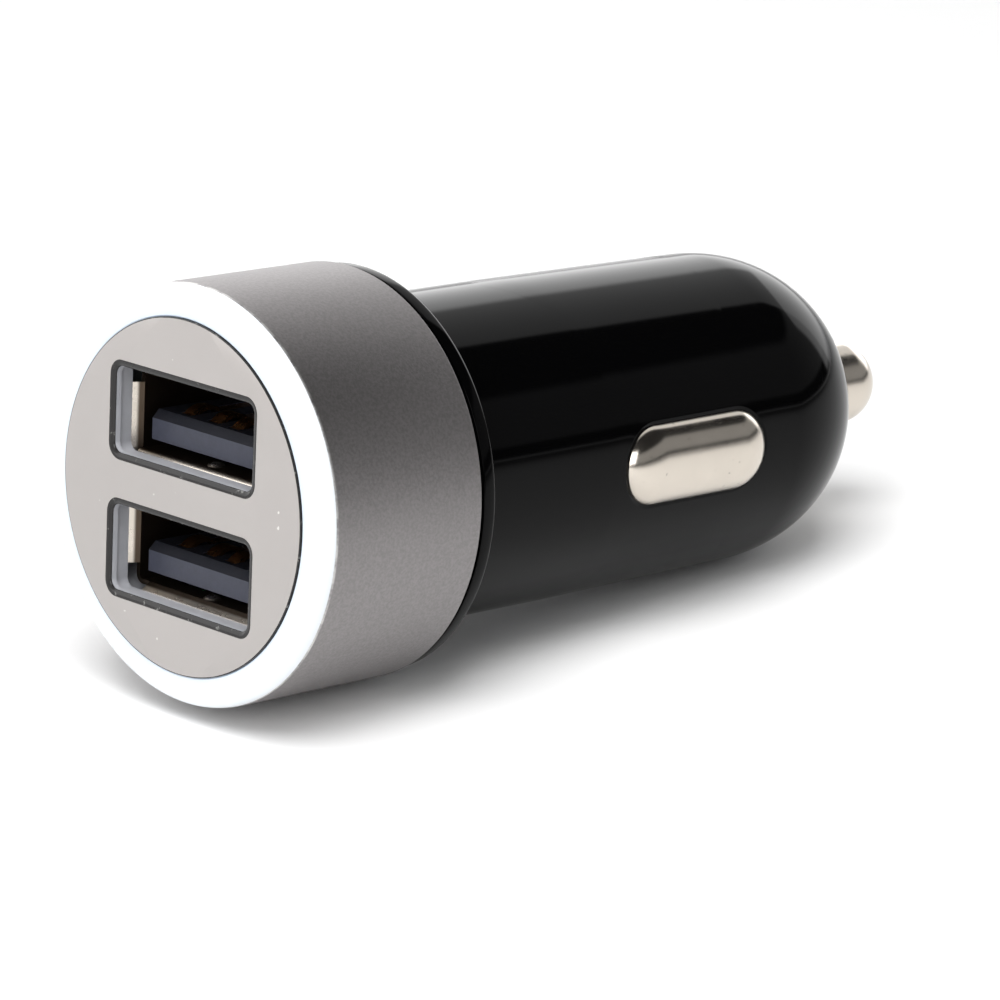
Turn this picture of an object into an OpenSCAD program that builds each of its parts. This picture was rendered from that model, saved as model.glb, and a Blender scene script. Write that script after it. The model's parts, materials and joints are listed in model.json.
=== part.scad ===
// Charger with two USB sockets that plugs into a car's 12 volt socket, lying on its side.
// Every piece is drawn about the plug's own axis: z runs along it, from the front edge
// of the metal sleeve to the tip, x is up and y is across. lay_down() then turns that
// axis to the row's +X and dips the tip until the plug lies on its head and its tail.

/* [Metal sleeve] */
// Outside diameter of the sleeve round the head
sleeve_d = 26.2; // [25.6:0.1:34]
// Length of the sleeve
sleeve_l = 11.8; // [11.4:0.1:16]
// Wall of the sleeve
sleeve_wall = 0.7; // [0.5:0.05:0.9]
// Rounding of the sleeve's two outer edges
sleeve_edge = 0.2; // [0.1:0.05:0.3]

/* [Light ring] */
// Width of the ring, seen from the front
ring_w = 1.85; // [1.5:0.05:2.2]
// How far the ring bulges ahead of the sleeve
ring_bulge = 0.95; // [0.7:0.05:1.3]
// How far the ring's rim lies inside the sleeve's
ring_inset = 0.1; // [0:0.05:0.3]
// Number of light chips behind the ring
led_count = 6; // [4:2:10]
// Size of a light chip: across, deep and high
led_size = [1.6, 0.8, 0.7];

/* [Face plate] */
// Thickness of the plate
plate_t = 0.55; // [0.4:0.05:0.8]
// How far the plate stands ahead of the ring
plate_proud = 0.15; // [0:0.05:0.4]
// Bevel round the plate's rim
plate_edge = 0.1; // [0.05:0.05:0.2]
// How much wider a window is than the socket's shell, on each side
window_side = 0.1; // [0:0.05:0.3]
// How much taller a window is than its port, above and below
window_rise = 0; // [-0.1:0.05:0.2]
// Corner radius of a window
window_r = 0.6; // [0.3:0.1:1.2]
// How much further out each window lies than its port
window_shift = 0.15; // [0:0.05:0.3]
// Width of the sloping band round each window
window_band = 0.38; // [0.1:0.02:0.5]
// How deep that band slopes
window_sink = 0.14; // [0.06:0.02:0.3]

/* [Twin socket] */
// Width of the socket's metal shell
socket_w = 13.1; // [13:0.05:13.2]
// Height of one port of the shell
port_h = 5.7; // [5.6:0.05:5.8]
// Distance between the middles of the ports
port_pitch = 8.4; // [8.3:0.1:10.2]
// Depth of the socket, from its lips to its board
socket_l = 10.5; // [9.8:0.1:10.8]
// Sheet metal of the shell
sheet_t = 0.3; // [0.2:0.05:0.35]
// Depth of the flared lips
lip_l = 0.65; // [0.4:0.05:0.9]
// How far the lips flare outwards
lip_flare = 0.4; // [0.2:0.05:0.5]
// Length of each corner that the lips leave free
lip_corner = 1.3; // [0.8:0.1:1.8]
// Radius of the dimple on the floor of each port
dimple_r = 0.6; // [0.4:0.05:0.8]
// Height of the dimple
dimple_h = 0.24; // [0.1:0.02:0.26]
// Distance of the dimple behind the lips' front
dimple_z = 1.3; // [1.2:0.1:3]
// Width of a tongue
tongue_w = 11.1; // [11:0.05:11.2]
// Thickness of a tongue
tongue_t = 1.84; // [1.7:0.02:1.9]
// Gap between a tongue and the shell below it
tongue_lift = 0.64; // [0.6:0.02:0.7]
// How far a tongue's front lies behind the lips
tongue_set = 0.75; // [0.7:0.05:1.2]
// Bevel along a tongue's upper front edge
tongue_bevel = 0.5; // [0.2:0.05:0.6]
// Spacing of the two inner contacts
inner_pitch = 2; // [2:0.1:2.2]
// Spacing of an outer contact from the inner one beside it
outer_pitch = 2.5; // [2.4:0.1:2.6]
// Width of a contact strip
strip_w = 1; // [0.8:0.05:1.1]
// Thickness of a contact strip
strip_t = 0.25; // [0.15:0.05:0.3]
// Rise of the curved tip of a contact
bump_h = 0.45; // [0.3:0.05:0.6]

/* [Barrel] */
// Diameter of the straight part of the barrel
barrel_d = 20.94; // [20.6:0.02:22.6]
// Diameter where the dome begins
tail_d = 20.56; // [20.2:0.02:20.6]
// Length of the straight part, behind the flange
straight_l = 12.7; // [10:0.1:14]
// Length of the whole barrel up to the dome
barrel_l = 29.4; // [29:0.1:37]
// Length of the dome
dome_l = 11; // [10:0.1:14]
// Fullness of the dome: 2 is an ellipse
dome_full = 2.08; // [2:0.02:2.4]
// Wall of the barrel
barrel_wall = 1; // [0.8:0.05:1.2]
// Thickness of the flange behind the sleeve
flange_t = 1.5; // [1:0.05:2]
// How far the flange lies inside the sleeve's outside
flange_inset = 0.2; // [0.15:0.05:0.4]
// Bevel of the flange's rear edge
flange_bevel = 0.4; // [0.2:0.05:0.6]
// Depth of the groove that shows between the sleeve and the flange
groove_l = 0.3; // [0.1:0.05:0.5]
// Length of the spigot inside the sleeve
spigot_l = 6.9; // [6.5:0.1:8]
// Wall of the spigot
spigot_wall = 1; // [0.8:0.05:1.2]
// Thickness of the ribs that guide the power board's edges
rib_t = 0.8; // [0.6:0.1:1.2]
// How far those ribs reach in from the barrel's wall
rib_h = 1.4; // [0.8:0.1:1.6]

/* [Side contacts] */
// Length of a side contact
side_l = 12.6; // [10:0.1:13]
// Width of a side contact
side_w = 5.3; // [4:0.1:6]
// How far a side contact stands proud of the barrel
side_proud = 1; // [0.6:0.05:1.4]
// Rise of a side contact's crown, from its edge to its middle
side_crown = 1.42; // [1:0.02:1.44]
// Fullness of the crown; 2 is an ellipse
side_full = 2.05; // [2:0.05:3]
// Distance of the contacts' middle behind the flange
side_z = 19.9; // [19.5:0.1:26]
// Sheet metal of a side contact
side_t = 0.4; // [0.3:0.05:0.5]
// Width of the rim that keeps a side contact in the barrel
side_rim = 0.85; // [0.6:0.05:1]
// How far a side contact can be pressed in
side_travel = 1; // [0.6:0.05:1.2]
// Gap between the leaf spring's edges and the contact round it
leaf_gap = 0.8; // [0.4:0.05:1]
// Thickness of the leaf spring
leaf_t = 0.3; // [0.2:0.05:0.4]

/* [Centre contact] */
// Diameter of the centre contact
tip_d = 5.6; // [4.6:0.1:6.2]
// How far the centre contact stands out of the dome
tip_out = 5.9; // [4:0.1:7]
// Length of the rounded nose
nose_l = 2.7; // [2:0.1:3]
// How much thicker the guided stem is than the free end, on each side
stem_step = 0.22; // [0.18:0.01:0.4]
// How far the stem's step shows outside the guide bore
stem_show = 0.1; // [0.05:0.05:0.3]
// Width of the collar that keeps the centre contact in the dome
collar_w = 0.92; // [0.7:0.02:1.2]
// Thickness of the collar
collar_t = 1.2; // [0.8:0.1:1.6]
// Length of the guide bore in the dome
guide_l = 2.7; // [2:0.1:3.5]
// Wall of the boss round the centre contact
boss_wall = 0.9; // [0.7:0.05:1.2]
// How far the centre contact can be pressed in
tip_travel = 2.5; // [1.5:0.1:3]
// Length of the coil spring behind the centre contact
spring_l = 6.6; // [6:0.1:8]
// Wire of the coil spring
spring_wire = 0.45; // [0.3:0.05:0.5]
// Turns of the coil spring
spring_turns = 6; // [5:1:7]

/* [Circuit boards] */
// Thickness of the two boards in the head
board_t = 1; // [0.8:0.1:1.2]
// Thickness of the power board in the barrel
power_t = 1.2; // [1:0.1:1.6]
// Gap between the power board's edges and the barrel's wall
edge_gap = 0.58; // [0.4:0.02:0.8]
// Gap between the power board and a side contact that is pressed right in
neck_gap = 0.7; // [0.3:0.1:1]

/* [Fits] */
// Gap between pieces that are pressed together or glued
press_gap = 0.05; // [0.02:0.01:0.08]
// Gap round what slides into the sleeve
sleeve_gap = 0.1; // [0.05:0.01:0.15]
// Running clearance round the centre contact
run_gap = 0.08; // [0.03:0.01:0.1]
// Gap between a side contact and the edge of its window
side_gap = 0.35; // [0.2:0.05:0.4]
// Gap between a circuit board and what stands in its cut-outs
board_gap = 0.15; // [0.1:0.05:0.25]

/* [Hidden] */
$fn = 72;

// Extra depth that lets a cutting shape pass right through a face
over = 1;

// Windows in the face, each in front of a port
window_w = socket_w + 2 * window_side;
window_h = port_h + 2 * window_rise;
window_pitch = port_pitch + 2 * window_shift;

// Head, from the outside in
sleeve_r = sleeve_d / 2;
sleeve_bore_r = sleeve_r - sleeve_wall;
inner_r = sleeve_bore_r - sleeve_gap;
ring_r = sleeve_r - ring_inset;
ring_hole_r = ring_r - ring_w;
plate_r = ring_hole_r - press_gap;
plate_z = -(ring_bulge + plate_proud);
frame_z = plate_z + plate_t;
frame_wall = 0.8;
spigot_z = sleeve_l - spigot_l;
spigot_bore_r = inner_r - spigot_wall;
light_board_z = spigot_z - board_t;
led_z = light_board_z - led_size[2];
led_clear = 0.2;

// The socket board rests on a shoulder just inside the flange, and the socket on it
seat_z = sleeve_l + 0.2;
socket_board_z = seat_z - board_t;
socket_z = socket_board_z - socket_l;
socket_board_r = spigot_bore_r - sleeve_gap;
socket_h = port_pitch + port_h;
socket_corner = 0.6;
port_in_h = port_h - 2 * sheet_t;
block_l = 2;
tongue_z = socket_z + tongue_set;
block_z = socket_board_z - block_l;
strip_y = [for (side = [-1, 1], step = [0, 1]) side * (inner_pitch / 2 + step * outer_pitch)];
pin_tail = 0.6;

// Clip legs of the port frame and the lugs that they hook behind
leg_w = 3;
leg_t = 0.8;
leg_y = spigot_bore_r - 2;
hook_l = 0.8;
lug_z = spigot_z + 1.1;
lug_t = 1;
lug_y = leg_y + leg_t + 0.25;

// Barrel
flange_r = sleeve_r - flange_inset;
flange_back = sleeve_l + flange_t;
groove_r = flange_r - 0.35;
barrel_r = barrel_d / 2;
tail_r = tail_d / 2;
straight_end = flange_back + straight_l;
tail_z = flange_back + barrel_l;
dome_end = tail_z + dome_l;
barrel_in_r = min(barrel_r, tail_r) - barrel_wall;
dome_steps = 24;

// Centre contact, its guide, collar and spring
tip_r = tip_d / 2;
stem_r = tip_r + stem_step;
guide_r = stem_r + run_gap;
collar_r = tip_r + collar_w;
counter_r = collar_r + run_gap;
boss_r = counter_r + boss_wall;
guide_z = dome_end - guide_l - 0.4;
collar_z = guide_z - collar_t;
tip_end = dome_end + tip_out;
nose_z = tip_end - nose_l;
terminal_t = 0.6;
spring_z = collar_z - spring_l;
terminal_z = spring_z - terminal_t;
spring_r = collar_r - 0.35 - spring_wire / 2;

// Side contacts: distances from the plug's axis
side_mid = flange_back + side_z;
side_top = barrel_r + side_proud;
rim_top = sqrt(pow(barrel_in_r, 2) - pow(side_w / 2 + side_rim, 2)) - 0.1;
rim_base = rim_top - side_t;
leaf_w = side_w - 2 * (side_t + leaf_gap);

// Power board and what stands on it
power_z = seat_z;
power_end = terminal_z - 0.3;
power_w = 2 * (barrel_in_r - edge_gap);
power_neck_w = 2 * (rim_base - side_travel - neck_gap);
power_step_z = side_mid - side_l / 2 - side_rim - 1.4;
tab_w = 9;
coil_core_r = 4.2;
coil_core_z = power_step_z + coil_core_r + 0.2;
drum_hub_r = 1.8;
drum_h = 5;
drum_flange = 0.9;
drum_turns = 6;
pin_d = 0.6;
pin_place = [3.4, socket_w / 2 + 1.35];

// Capacitors: diameter, length of the can and its front end
input_can = [6.3, 5.6, coil_core_z + coil_core_r + 0.2];
output_can = [8, 8.6, seat_z + 1.2];
lead_bend = 0.6;
lead_out = 0.5;

// Where the dome's surface lies at a radius from the axis
function dome_at(r) = tail_z + dome_l * pow(1 - pow(r / tail_r, dome_full), 1 / dome_full);
stem_end = dome_at(guide_r) + stem_show;

// Points [radius, z] of a rounded end whose roundness follows a superellipse
function rounded_end(r, z, l, full, steps) =
    [for (i = [0 : steps]) let (a = 90 * i / steps)
        [r * pow(cos(a), 2 / full), z + l * pow(sin(a), 2 / full)]];

// How far an outline of points [radius, z] reaches in the direction [along radius, along z]
function reach(outline, dir) = max([for (p = outline) p[0] * dir[0] + p[1] * dir[1]]);

// The lowest line of the plug once the tip has dipped by an angle: the head and the tail
tail_outline = concat([[barrel_r, straight_end]], rounded_end(tail_r, tail_z, dome_l, dome_full, dome_steps));
nose_outline = rounded_end(tip_r, nose_z, nose_l, 2, 16);
plate_outline = [[plate_r - plate_edge, plate_z], [plate_r, plate_z + plate_edge]];
function head_depth(dip) =
    reach([[sleeve_r - sleeve_edge, sleeve_l - sleeve_edge]], [cos(dip), sin(dip)]) + sleeve_edge;
function tail_depth(dip) = reach(tail_outline, [cos(dip), sin(dip)]);

// Halve the interval until head and tail reach equally low
function settle(low, high, turns) =
    let (mid = (low + high) / 2)
    turns == 0 ? mid
        : head_depth(mid) > tail_depth(mid) ? settle(mid, high, turns - 1)
        : settle(low, mid, turns - 1);
dip = settle(0, 30, 40);
lift = head_depth(dip);

// The row's origin is under the middle of the plug's length
front_reach = max(reach(plate_outline, [sin(dip), -cos(dip)]),
    (ring_r - ring_bulge) * sin(dip) + ring_bulge);
tip_reach = reach(nose_outline, [sin(dip), cos(dip)]);
shift = (front_reach - tip_reach) / 2;

// Put the plug's own axes into the row's: z to +X, x up, and the tip dipped
module lay_down() {
    translate([shift, 0, lift])
        rotate([0, dip, 0])
            rotate([0, 90, 0])
                rotate([0, 0, 180])
                    children();
}

// Rectangle with round corners, up by across
module soft_rect(up, across, r) {
    square([up - 2 * r, across], center = true);
    square([up, across - 2 * r], center = true);
    for (x = [-1, 1], y = [-1, 1])
        translate([x * (up / 2 - r), y * (across / 2 - r)])
            circle(r);
}

// Slot with round ends that lies along the second axis
module stadium(width, length) {
    square([width, length - width], center = true);
    for (end = [-1, 1])
        translate([0, end * (length - width) / 2])
            circle(width / 2);
}

// Extrude a drawing of up against along, evenly to both sides of the plug's middle
module across(width) {
    translate([0, width / 2, 0])
        rotate([90, 0, 0])
            linear_extrude(width)
                children();
}

// Extrude a drawing of across against along, evenly above and below the plug's middle
module upright(height) {
    translate([-height / 2, 0, 0])
        rotate([90, 0, 90])
            linear_extrude(height)
                children();
}

// Section of a tube wall whose two outer edges are rounded
module tube_section(r_in, r_out, z_front, z_back, edge) {
    translate([r_in, z_front + edge])
        square([r_out - r_in, z_back - z_front - 2 * edge]);
    translate([r_in, z_front])
        square([r_out - r_in - edge, z_back - z_front]);
    for (z = [z_front + edge, z_back - edge])
        translate([r_out - edge, z])
            circle(edge);
}

// The two openings through the face, grown by an amount
module windows(grow) {
    for (side = [-1, 1])
        translate([side * window_pitch / 2, 0])
            soft_rect(window_h + 2 * grow, window_w + 2 * grow, window_r + grow);
}

// Face plate with bevelled windows
module face_plate() {
    color([0.74, 0.72, 0.7]) lay_down()
        difference() {
            rotate_extrude()
                polygon([[0, plate_z], [plate_r - plate_edge, plate_z],
                    [plate_r, plate_z + plate_edge], [plate_r, frame_z], [0, frame_z]]);
            translate([0, 0, plate_z - over])
                linear_extrude(plate_t + 2 * over)
                    windows(0);
            for (side = [-1, 1])
                translate([side * window_pitch / 2, 0, plate_z])
                    window_funnel();
        }
}

// Wedge that bevels one window from the front
module window_funnel() {
    hull() {
        translate([0, 0, -over])
            linear_extrude(over)
                soft_rect(window_h + 2 * window_band, window_w + 2 * window_band,
                    window_r + window_band, $fn = 32);
        linear_extrude(window_sink)
            soft_rect(window_h, window_w, window_r, $fn = 32);
    }
}

// Translucent ring: a rounded rim on the sleeve's edge and a skirt inside the sleeve
module light_ring() {
    color([0.86, 0.91, 0.98]) lay_down()
        rotate_extrude() {
            translate([ring_hole_r, -ring_bulge])
                square([ring_w - ring_bulge, ring_bulge]);
            intersection() {
                translate([ring_r - ring_bulge, 0])
                    circle(ring_bulge);
                translate([ring_r - ring_bulge - over, -ring_bulge])
                    square([ring_bulge + over, ring_bulge]);
            }
            translate([ring_hole_r, 0])
                square([inner_r - ring_hole_r, led_z - led_clear]);
        }
}

// Moulded frame behind the plate: window walls, skirt and two clip legs
module port_frame() {
    color([0.52, 0.53, 0.57]) lay_down() {
        difference() {
            translate([0, 0, frame_z])
                cylinder(r = plate_r, h = light_board_z - frame_z);
            translate([0, 0, socket_z])
                cylinder(r = plate_r - frame_wall, h = light_board_z - socket_z + over);
            translate([0, 0, frame_z - over])
                linear_extrude(socket_z - frame_z + 2 * over)
                    windows(0);
        }
        for (side = [0, 180])
            rotate([0, 0, side])
                upright(leg_w)
                    clip_leg();
    }
}

// Outline of one clip leg, across against along
module clip_leg() {
    hook_z = lug_z + lug_t + press_gap;
    polygon([[leg_y, socket_z], [leg_y + leg_t, socket_z], [leg_y + leg_t, hook_z],
        [leg_y + leg_t + hook_l, hook_z], [leg_y + leg_t + hook_l, hook_z + 0.3],
        [leg_y + leg_t, hook_z + 1.2], [leg_y, hook_z + 1.2]]);
}

// Turned metal sleeve
module head_sleeve() {
    color([0.42, 0.42, 0.45]) lay_down()
        rotate_extrude()
            tube_section(sleeve_bore_r, sleeve_r, 0, sleeve_l, sleeve_edge);
}

// Barrel with its flange, spigot, domed end and the boss that guides the centre contact
module barrel_housing() {
    color([0.05, 0.05, 0.06]) lay_down() {
        difference() {
            union() {
                rotate_extrude()
                    difference() {
                        barrel_outside();
                        barrel_inside();
                    }
                boss();
                board_ribs();
            }
            translate([0, 0, terminal_z - over])
                cylinder(r = counter_r, h = guide_z - terminal_z + over);
            translate([0, 0, terminal_z - over])
                cylinder(r = guide_r, h = dome_end - terminal_z + 2 * over);
            for (side = [-90, 90])
                translate([0, 0, side_mid])
                    rotate([side, 0, 0])
                        linear_extrude(barrel_r + over)
                            stadium(side_w + 2 * side_gap, side_l + 2 * side_gap);
        }
        for (side = [0, 180])
            rotate([0, 0, side])
                clip_lug();
    }
}

// Outer half section of the barrel housing
module barrel_outside() {
    polygon(concat(
        [[0, spigot_z], [inner_r, spigot_z], [inner_r, sleeve_l], [groove_r, sleeve_l],
            [groove_r, sleeve_l + groove_l], [flange_r, sleeve_l + groove_l],
            [flange_r, flange_back - flange_bevel], [flange_r - flange_bevel, flange_back],
            [barrel_r, flange_back]],
        tail_outline));
}

// Hollow half section of the barrel housing
module barrel_inside() {
    polygon(concat(
        [[0, spigot_z - over], [spigot_bore_r, spigot_z - over], [spigot_bore_r, seat_z],
            [barrel_in_r, seat_z]],
        rounded_end(barrel_in_r, tail_z, dome_l - barrel_wall, dome_full, dome_steps)));
}

// Boss that grows out of the dome and holds the centre contact
module boss() {
    intersection() {
        rotate_extrude()
            barrel_outside();
        translate([0, 0, terminal_z])
            cylinder(r = boss_r, h = dome_end - terminal_z);
    }
}

// Two pairs of ribs along the wall, with the power board's edges between them
module board_ribs() {
    for (side = [0, 180], x = [-1, 1])
        rotate([0, 0, side])
            intersection() {
                translate([0, 0, seat_z])
                    cylinder(r = barrel_in_r + barrel_wall / 2, h = power_step_z - seat_z);
                translate([x * (power_t + rib_t) / 2 + x * board_gap - rib_t / 2, barrel_in_r - rib_h, seat_z - over])
                    cube([rib_t, rib_h + barrel_wall, power_step_z - seat_z + 2 * over]);
            }
}

// Lug inside the spigot that a clip leg hooks behind
module clip_lug() {
    intersection() {
        translate([0, 0, lug_z])
            cylinder(r = spigot_bore_r + spigot_wall / 2, h = lug_t);
        translate([-(leg_w + 1) / 2, lug_y, lug_z - over])
            cube([leg_w + 1, spigot_bore_r, lug_t + 2 * over]);
    }
}

// Ring-shaped board that carries the light chips, open round the socket and the clip legs
module light_board() {
    color([0.13, 0.33, 0.2]) lay_down()
        translate([0, 0, light_board_z])
            difference() {
                cylinder(r = inner_r, h = board_t);
                translate([0, 0, -over])
                    linear_extrude(board_t + 2 * over) {
                        soft_rect(socket_h + 4 * board_gap, socket_w + 4 * board_gap, socket_corner);
                        for (side = [-1, 1])
                            translate([0, side * (leg_y + leg_t / 2)])
                                square([leg_w, leg_t + hook_l] + [1, 1] * 2 * board_gap, center = true);
                    }
                pin_holes();
            }
}

// Light chips in a circle behind the ring's skirt
module light_chips() {
    color([0.95, 0.95, 0.85]) lay_down()
        for (i = [0 : led_count - 1])
            rotate([0, 0, 360 * (i + 0.5) / led_count])
                translate([(ring_hole_r + inner_r) / 2, 0, led_z + led_size[2] / 2])
                    cube([led_size[1], led_size[0], led_size[2]], center = true);
}

// Pins that carry current from the socket board to the light board
module light_pins() {
    color("gold") lay_down()
        for (x = [-1, 1], y = [-1, 1])
            translate([x * pin_place[0], y * pin_place[1], light_board_z - pin_tail])
                cylinder(d = pin_d, h = seat_z + pin_tail - (light_board_z - pin_tail), $fn = 24);
}

// Drill holes for those pins, through either board
module pin_holes() {
    for (x = [-1, 1], y = [-1, 1])
        translate([x * pin_place[0], y * pin_place[1], -over])
            cylinder(d = pin_d + 2 * press_gap, h = board_t + 2 * over, $fn = 24);
}

// Folded shell round both ports, with flared lips, sprung leaves and four solder legs
module socket_shell() {
    color("silver") lay_down() {
        difference() {
            translate([0, 0, socket_z + lip_l])
                linear_extrude(socket_l - lip_l)
                    difference() {
                        soft_rect(socket_h, socket_w, socket_corner);
                        soft_rect(socket_h - 2 * sheet_t, socket_w - 2 * sheet_t, socket_corner - sheet_t);
                    }
            for (y = [-1, 1])
                translate([0, y * socket_w / 4.6, socket_z + 4.6])
                    cube([socket_h + over, 2.4, 5.2], center = true);
        }
        dimple(sheet_t - socket_h / 2);
        for (side = [0, 180])
            rotate([0, 0, side]) {
                upright(socket_h - 2 * lip_corner)
                    lip(socket_w / 2);
                across(socket_w - 2 * lip_corner)
                    lip(socket_h / 2);
                for (y = [-1, 1])
                    translate([0, y * socket_w / 4.6, 0])
                        across(1.8)
                            sprung_leaf(socket_h / 2);
                for (x = [-1, 1])
                    translate([x * socket_h / 3, socket_w / 2 - sheet_t / 2, seat_z - board_t + pin_tail])
                        cube([1.8, sheet_t, 2 * (board_t - 0.2) + 0.2], center = true);
            }
    }
}

// Section of a flared lip on a wall whose outside is at a distance from the middle
module lip(wall) {
    polygon([[wall - sheet_t, socket_z + lip_l], [wall, socket_z + lip_l],
        [wall + lip_flare, socket_z], [wall + lip_flare - sheet_t, socket_z]]);
}

// Domed dimple that stands up from the floor of a port
module dimple(floor_x) {
    ball = (pow(dimple_r, 2) + pow(dimple_h, 2)) / (2 * dimple_h);
    translate([floor_x, 0, socket_z + dimple_z])
        rotate([0, 90, 0])
            intersection() {
                translate([0, 0, dimple_h - ball])
                    sphere(ball);
                translate([0, 0, -sheet_t / 2])
                    cylinder(r = dimple_r, h = dimple_h + sheet_t);
            }
}

// Section of a leaf cut from the shell's wall and bent inwards to hold a plug
module sprung_leaf(wall) {
    root = socket_z + 7.2;
    dent = socket_z + 3.3;
    free = socket_z + 2.4;
    polygon([[wall, root], [wall - sheet_t, root], [wall - sheet_t - 0.5, dent], [wall - sheet_t, free],
        [wall - sheet_t / 3, free + 0.2], [wall - 0.6, dent]]);
}

// Folded wall between the two ports
module socket_divider() {
    fold_h = port_pitch - port_in_h;
    color("silver") lay_down() {
        dimple(fold_h / 2);
        across(socket_w - 2 * sheet_t - 2 * press_gap)
            difference() {
                translate([0, socket_z + 5])
                    soft_rect(fold_h, 10, socket_corner);
                translate([0, socket_z + 6 + sheet_t])
                    soft_rect(fold_h - 2 * sheet_t, 12, socket_corner - sheet_t);
                translate([-fold_h, block_z - 0.3])
                    square([2 * fold_h, 10]);
            }
    }
}

// Bottom of a tongue, for the port whose middle is at a height
function tongue_foot(port) = port - port_in_h / 2 + tongue_lift;

// Insulating block behind the ports, with a tongue in each
module socket_block() {
    color([0.1, 0.1, 0.13]) lay_down()
        difference() {
            union() {
                translate([0, 0, block_z])
                    linear_extrude(block_l)
                        soft_rect(socket_h - 2 * sheet_t - 2 * press_gap,
                            socket_w - 2 * sheet_t - 2 * press_gap, socket_corner - sheet_t);
                for (port = [-1, 1] * port_pitch / 2)
                    across(tongue_w)
                        tongue(tongue_foot(port));
            }
            for (port = [-1, 1] * port_pitch / 2, y = strip_y)
                translate([tongue_foot(port) + tongue_t - strip_t - press_gap,
                    y - strip_w / 2 - press_gap, tongue_z + 0.9])
                    cube([strip_t + 2 * press_gap, strip_w + 2 * press_gap, socket_l]);
        }
}

// Side view of a tongue, up against along
module tongue(foot) {
    polygon([[foot, tongue_z], [foot + tongue_t - tongue_bevel, tongue_z],
        [foot + tongue_t, tongue_z + tongue_bevel], [foot + tongue_t, block_z + 0.1], [foot, block_z + 0.1]]);
}

// Four contact strips of one port, each with a curved tip
module socket_contacts(port) {
    color([0.8, 0.55, 0.25]) lay_down()
        for (y = strip_y)
            translate([0, y, 0])
                across(strip_w)
                    contact_strip(tongue_foot(port) + tongue_t - press_gap / 2);
}

module socket_contacts_upper() { socket_contacts(port_pitch / 2); }
module socket_contacts_lower() { socket_contacts(-port_pitch / 2); }

// Side view of a contact strip whose upper face is at a height
module contact_strip(top) {
    bend_r = 1.7;
    bump_z = tongue_z + 2.4;
    half = sqrt(pow(bend_r, 2) - pow(bend_r - bump_h, 2));
    start = tongue_z + 0.95;
    translate([top - strip_t, start])
        square([strip_t, bump_z - half + 0.1 - start]);
    translate([top - strip_t, bump_z + half - 0.1])
        square([strip_t, seat_z + pin_tail - bump_z - half + 0.1]);
    intersection() {
        translate([top + bump_h - bend_r, bump_z])
            difference() {
                circle(bend_r);
                circle(bend_r - strip_t);
            }
        translate([top - strip_t, bump_z - half - strip_t])
            square([bump_h + strip_t + over, 2 * (half + strip_t)]);
    }
}

// Round board behind the socket, with a slot for the power board's tab
module socket_board() {
    color([0.13, 0.33, 0.2]) lay_down()
        translate([0, 0, socket_board_z])
            difference() {
                cylinder(r = socket_board_r, h = board_t);
                translate([0, 0, -over])
                    linear_extrude(board_t + 2 * over) {
                        square([power_t + 2 * press_gap, tab_w + 2 * board_gap], center = true);
                        for (side = [-1, 1])
                            translate([0, side * (leg_y + socket_board_r / 2)])
                                square([leg_w + 1.4, socket_board_r], center = true);
                        for (x = [-1, 1], y = [-1, 1])
                            translate([x * socket_h / 3, y * (socket_w - sheet_t) / 2])
                                square([1.8, sheet_t] + [1, 1] * 2 * board_gap, center = true);
                        for (port = [-1, 1] * port_pitch / 2, y = strip_y)
                            translate([tongue_foot(port) + tongue_t - (strip_t + press_gap) / 2, y])
                                square([strip_t, strip_w] + [1, 1] * 2 * press_gap, center = true);
                    }
                pin_holes();
            }
}

// Turn what stands on the power board over: the heavy parts hang below the plug's axis,
// so that it comes to rest with its windows level
module hung() {
    lay_down()
        rotate([0, 0, 180])
            children();
}

// Power board along the barrel, narrowed between the side contacts
module power_board() {
    color([0.13, 0.33, 0.2]) lay_down()
        upright(power_t)
            difference() {
                union() {
                    translate([-tab_w / 2, socket_board_z + press_gap])
                        square([tab_w, board_t]);
                    translate([-power_w / 2, power_z])
                        square([power_w, power_step_z - power_z]);
                    translate([-power_neck_w / 2, power_z])
                        square([power_neck_w, power_end - power_z]);
                }
                for (can = [input_can, output_can], side = [-1, 1])
                    translate([side * can[0] / 5, can[1] + can[2] + lead_bend])
                        circle(d = pin_d + 2 * press_gap);
            }
}

// Converter chips on the power board's lighter side
module converter_chips() {
    color([0.1, 0.1, 0.1]) hung()
        for (z = [power_z + 7, coil_core_z + 1])
            translate([-power_t / 2, 0, z])
                flat_chip(3.9, 4.9, 1.5);
}

// Flat chip below a board, with four legs on each side
module flat_chip(width, length, height) {
    leg_pitch = 1.27;
    leg = 0.4;
    reach_out = 1;
    translate([-height + 0.05, 0, 0])
        translate([(height - 0.15) / 2, 0, 0])
            cube([height - 0.15, width, length], center = true);
    for (side = [0, 180], i = [-1.5 : 1.5])
        rotate([side, 0, 0])
            translate([0, 0, i * leg_pitch])
                rotate([90, 0, 90])
                    translate([0, 0, -height / 2])
                        linear_extrude(height / 2)
                            translate([width / 2, -leg / 2])
                                square([reach_out, leg]);
}

// Small resistors and capacitors beside the chips
module chip_parts() {
    color([0.45, 0.35, 0.25]) hung()
        for (side = [-1, 1], i = [0 : 3])
            translate([-power_t / 2 - 0.3, side * 4.9, power_z + 3 + i * 2.4])
                cube([0.6, 0.8, 1.6], center = true);
}

// Ferrite drum of the inductor, standing on the power board
module inductor_core() {
    color([0.22, 0.22, 0.24]) hung()
        translate([power_t / 2, 0, coil_core_z])
            rotate([0, 90, 0]) {
                cylinder(r = coil_core_r, h = drum_flange);
                cylinder(r = drum_hub_r, h = drum_h);
                translate([0, 0, drum_h - drum_flange])
                    cylinder(r = coil_core_r, h = drum_flange);
            }
}

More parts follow.
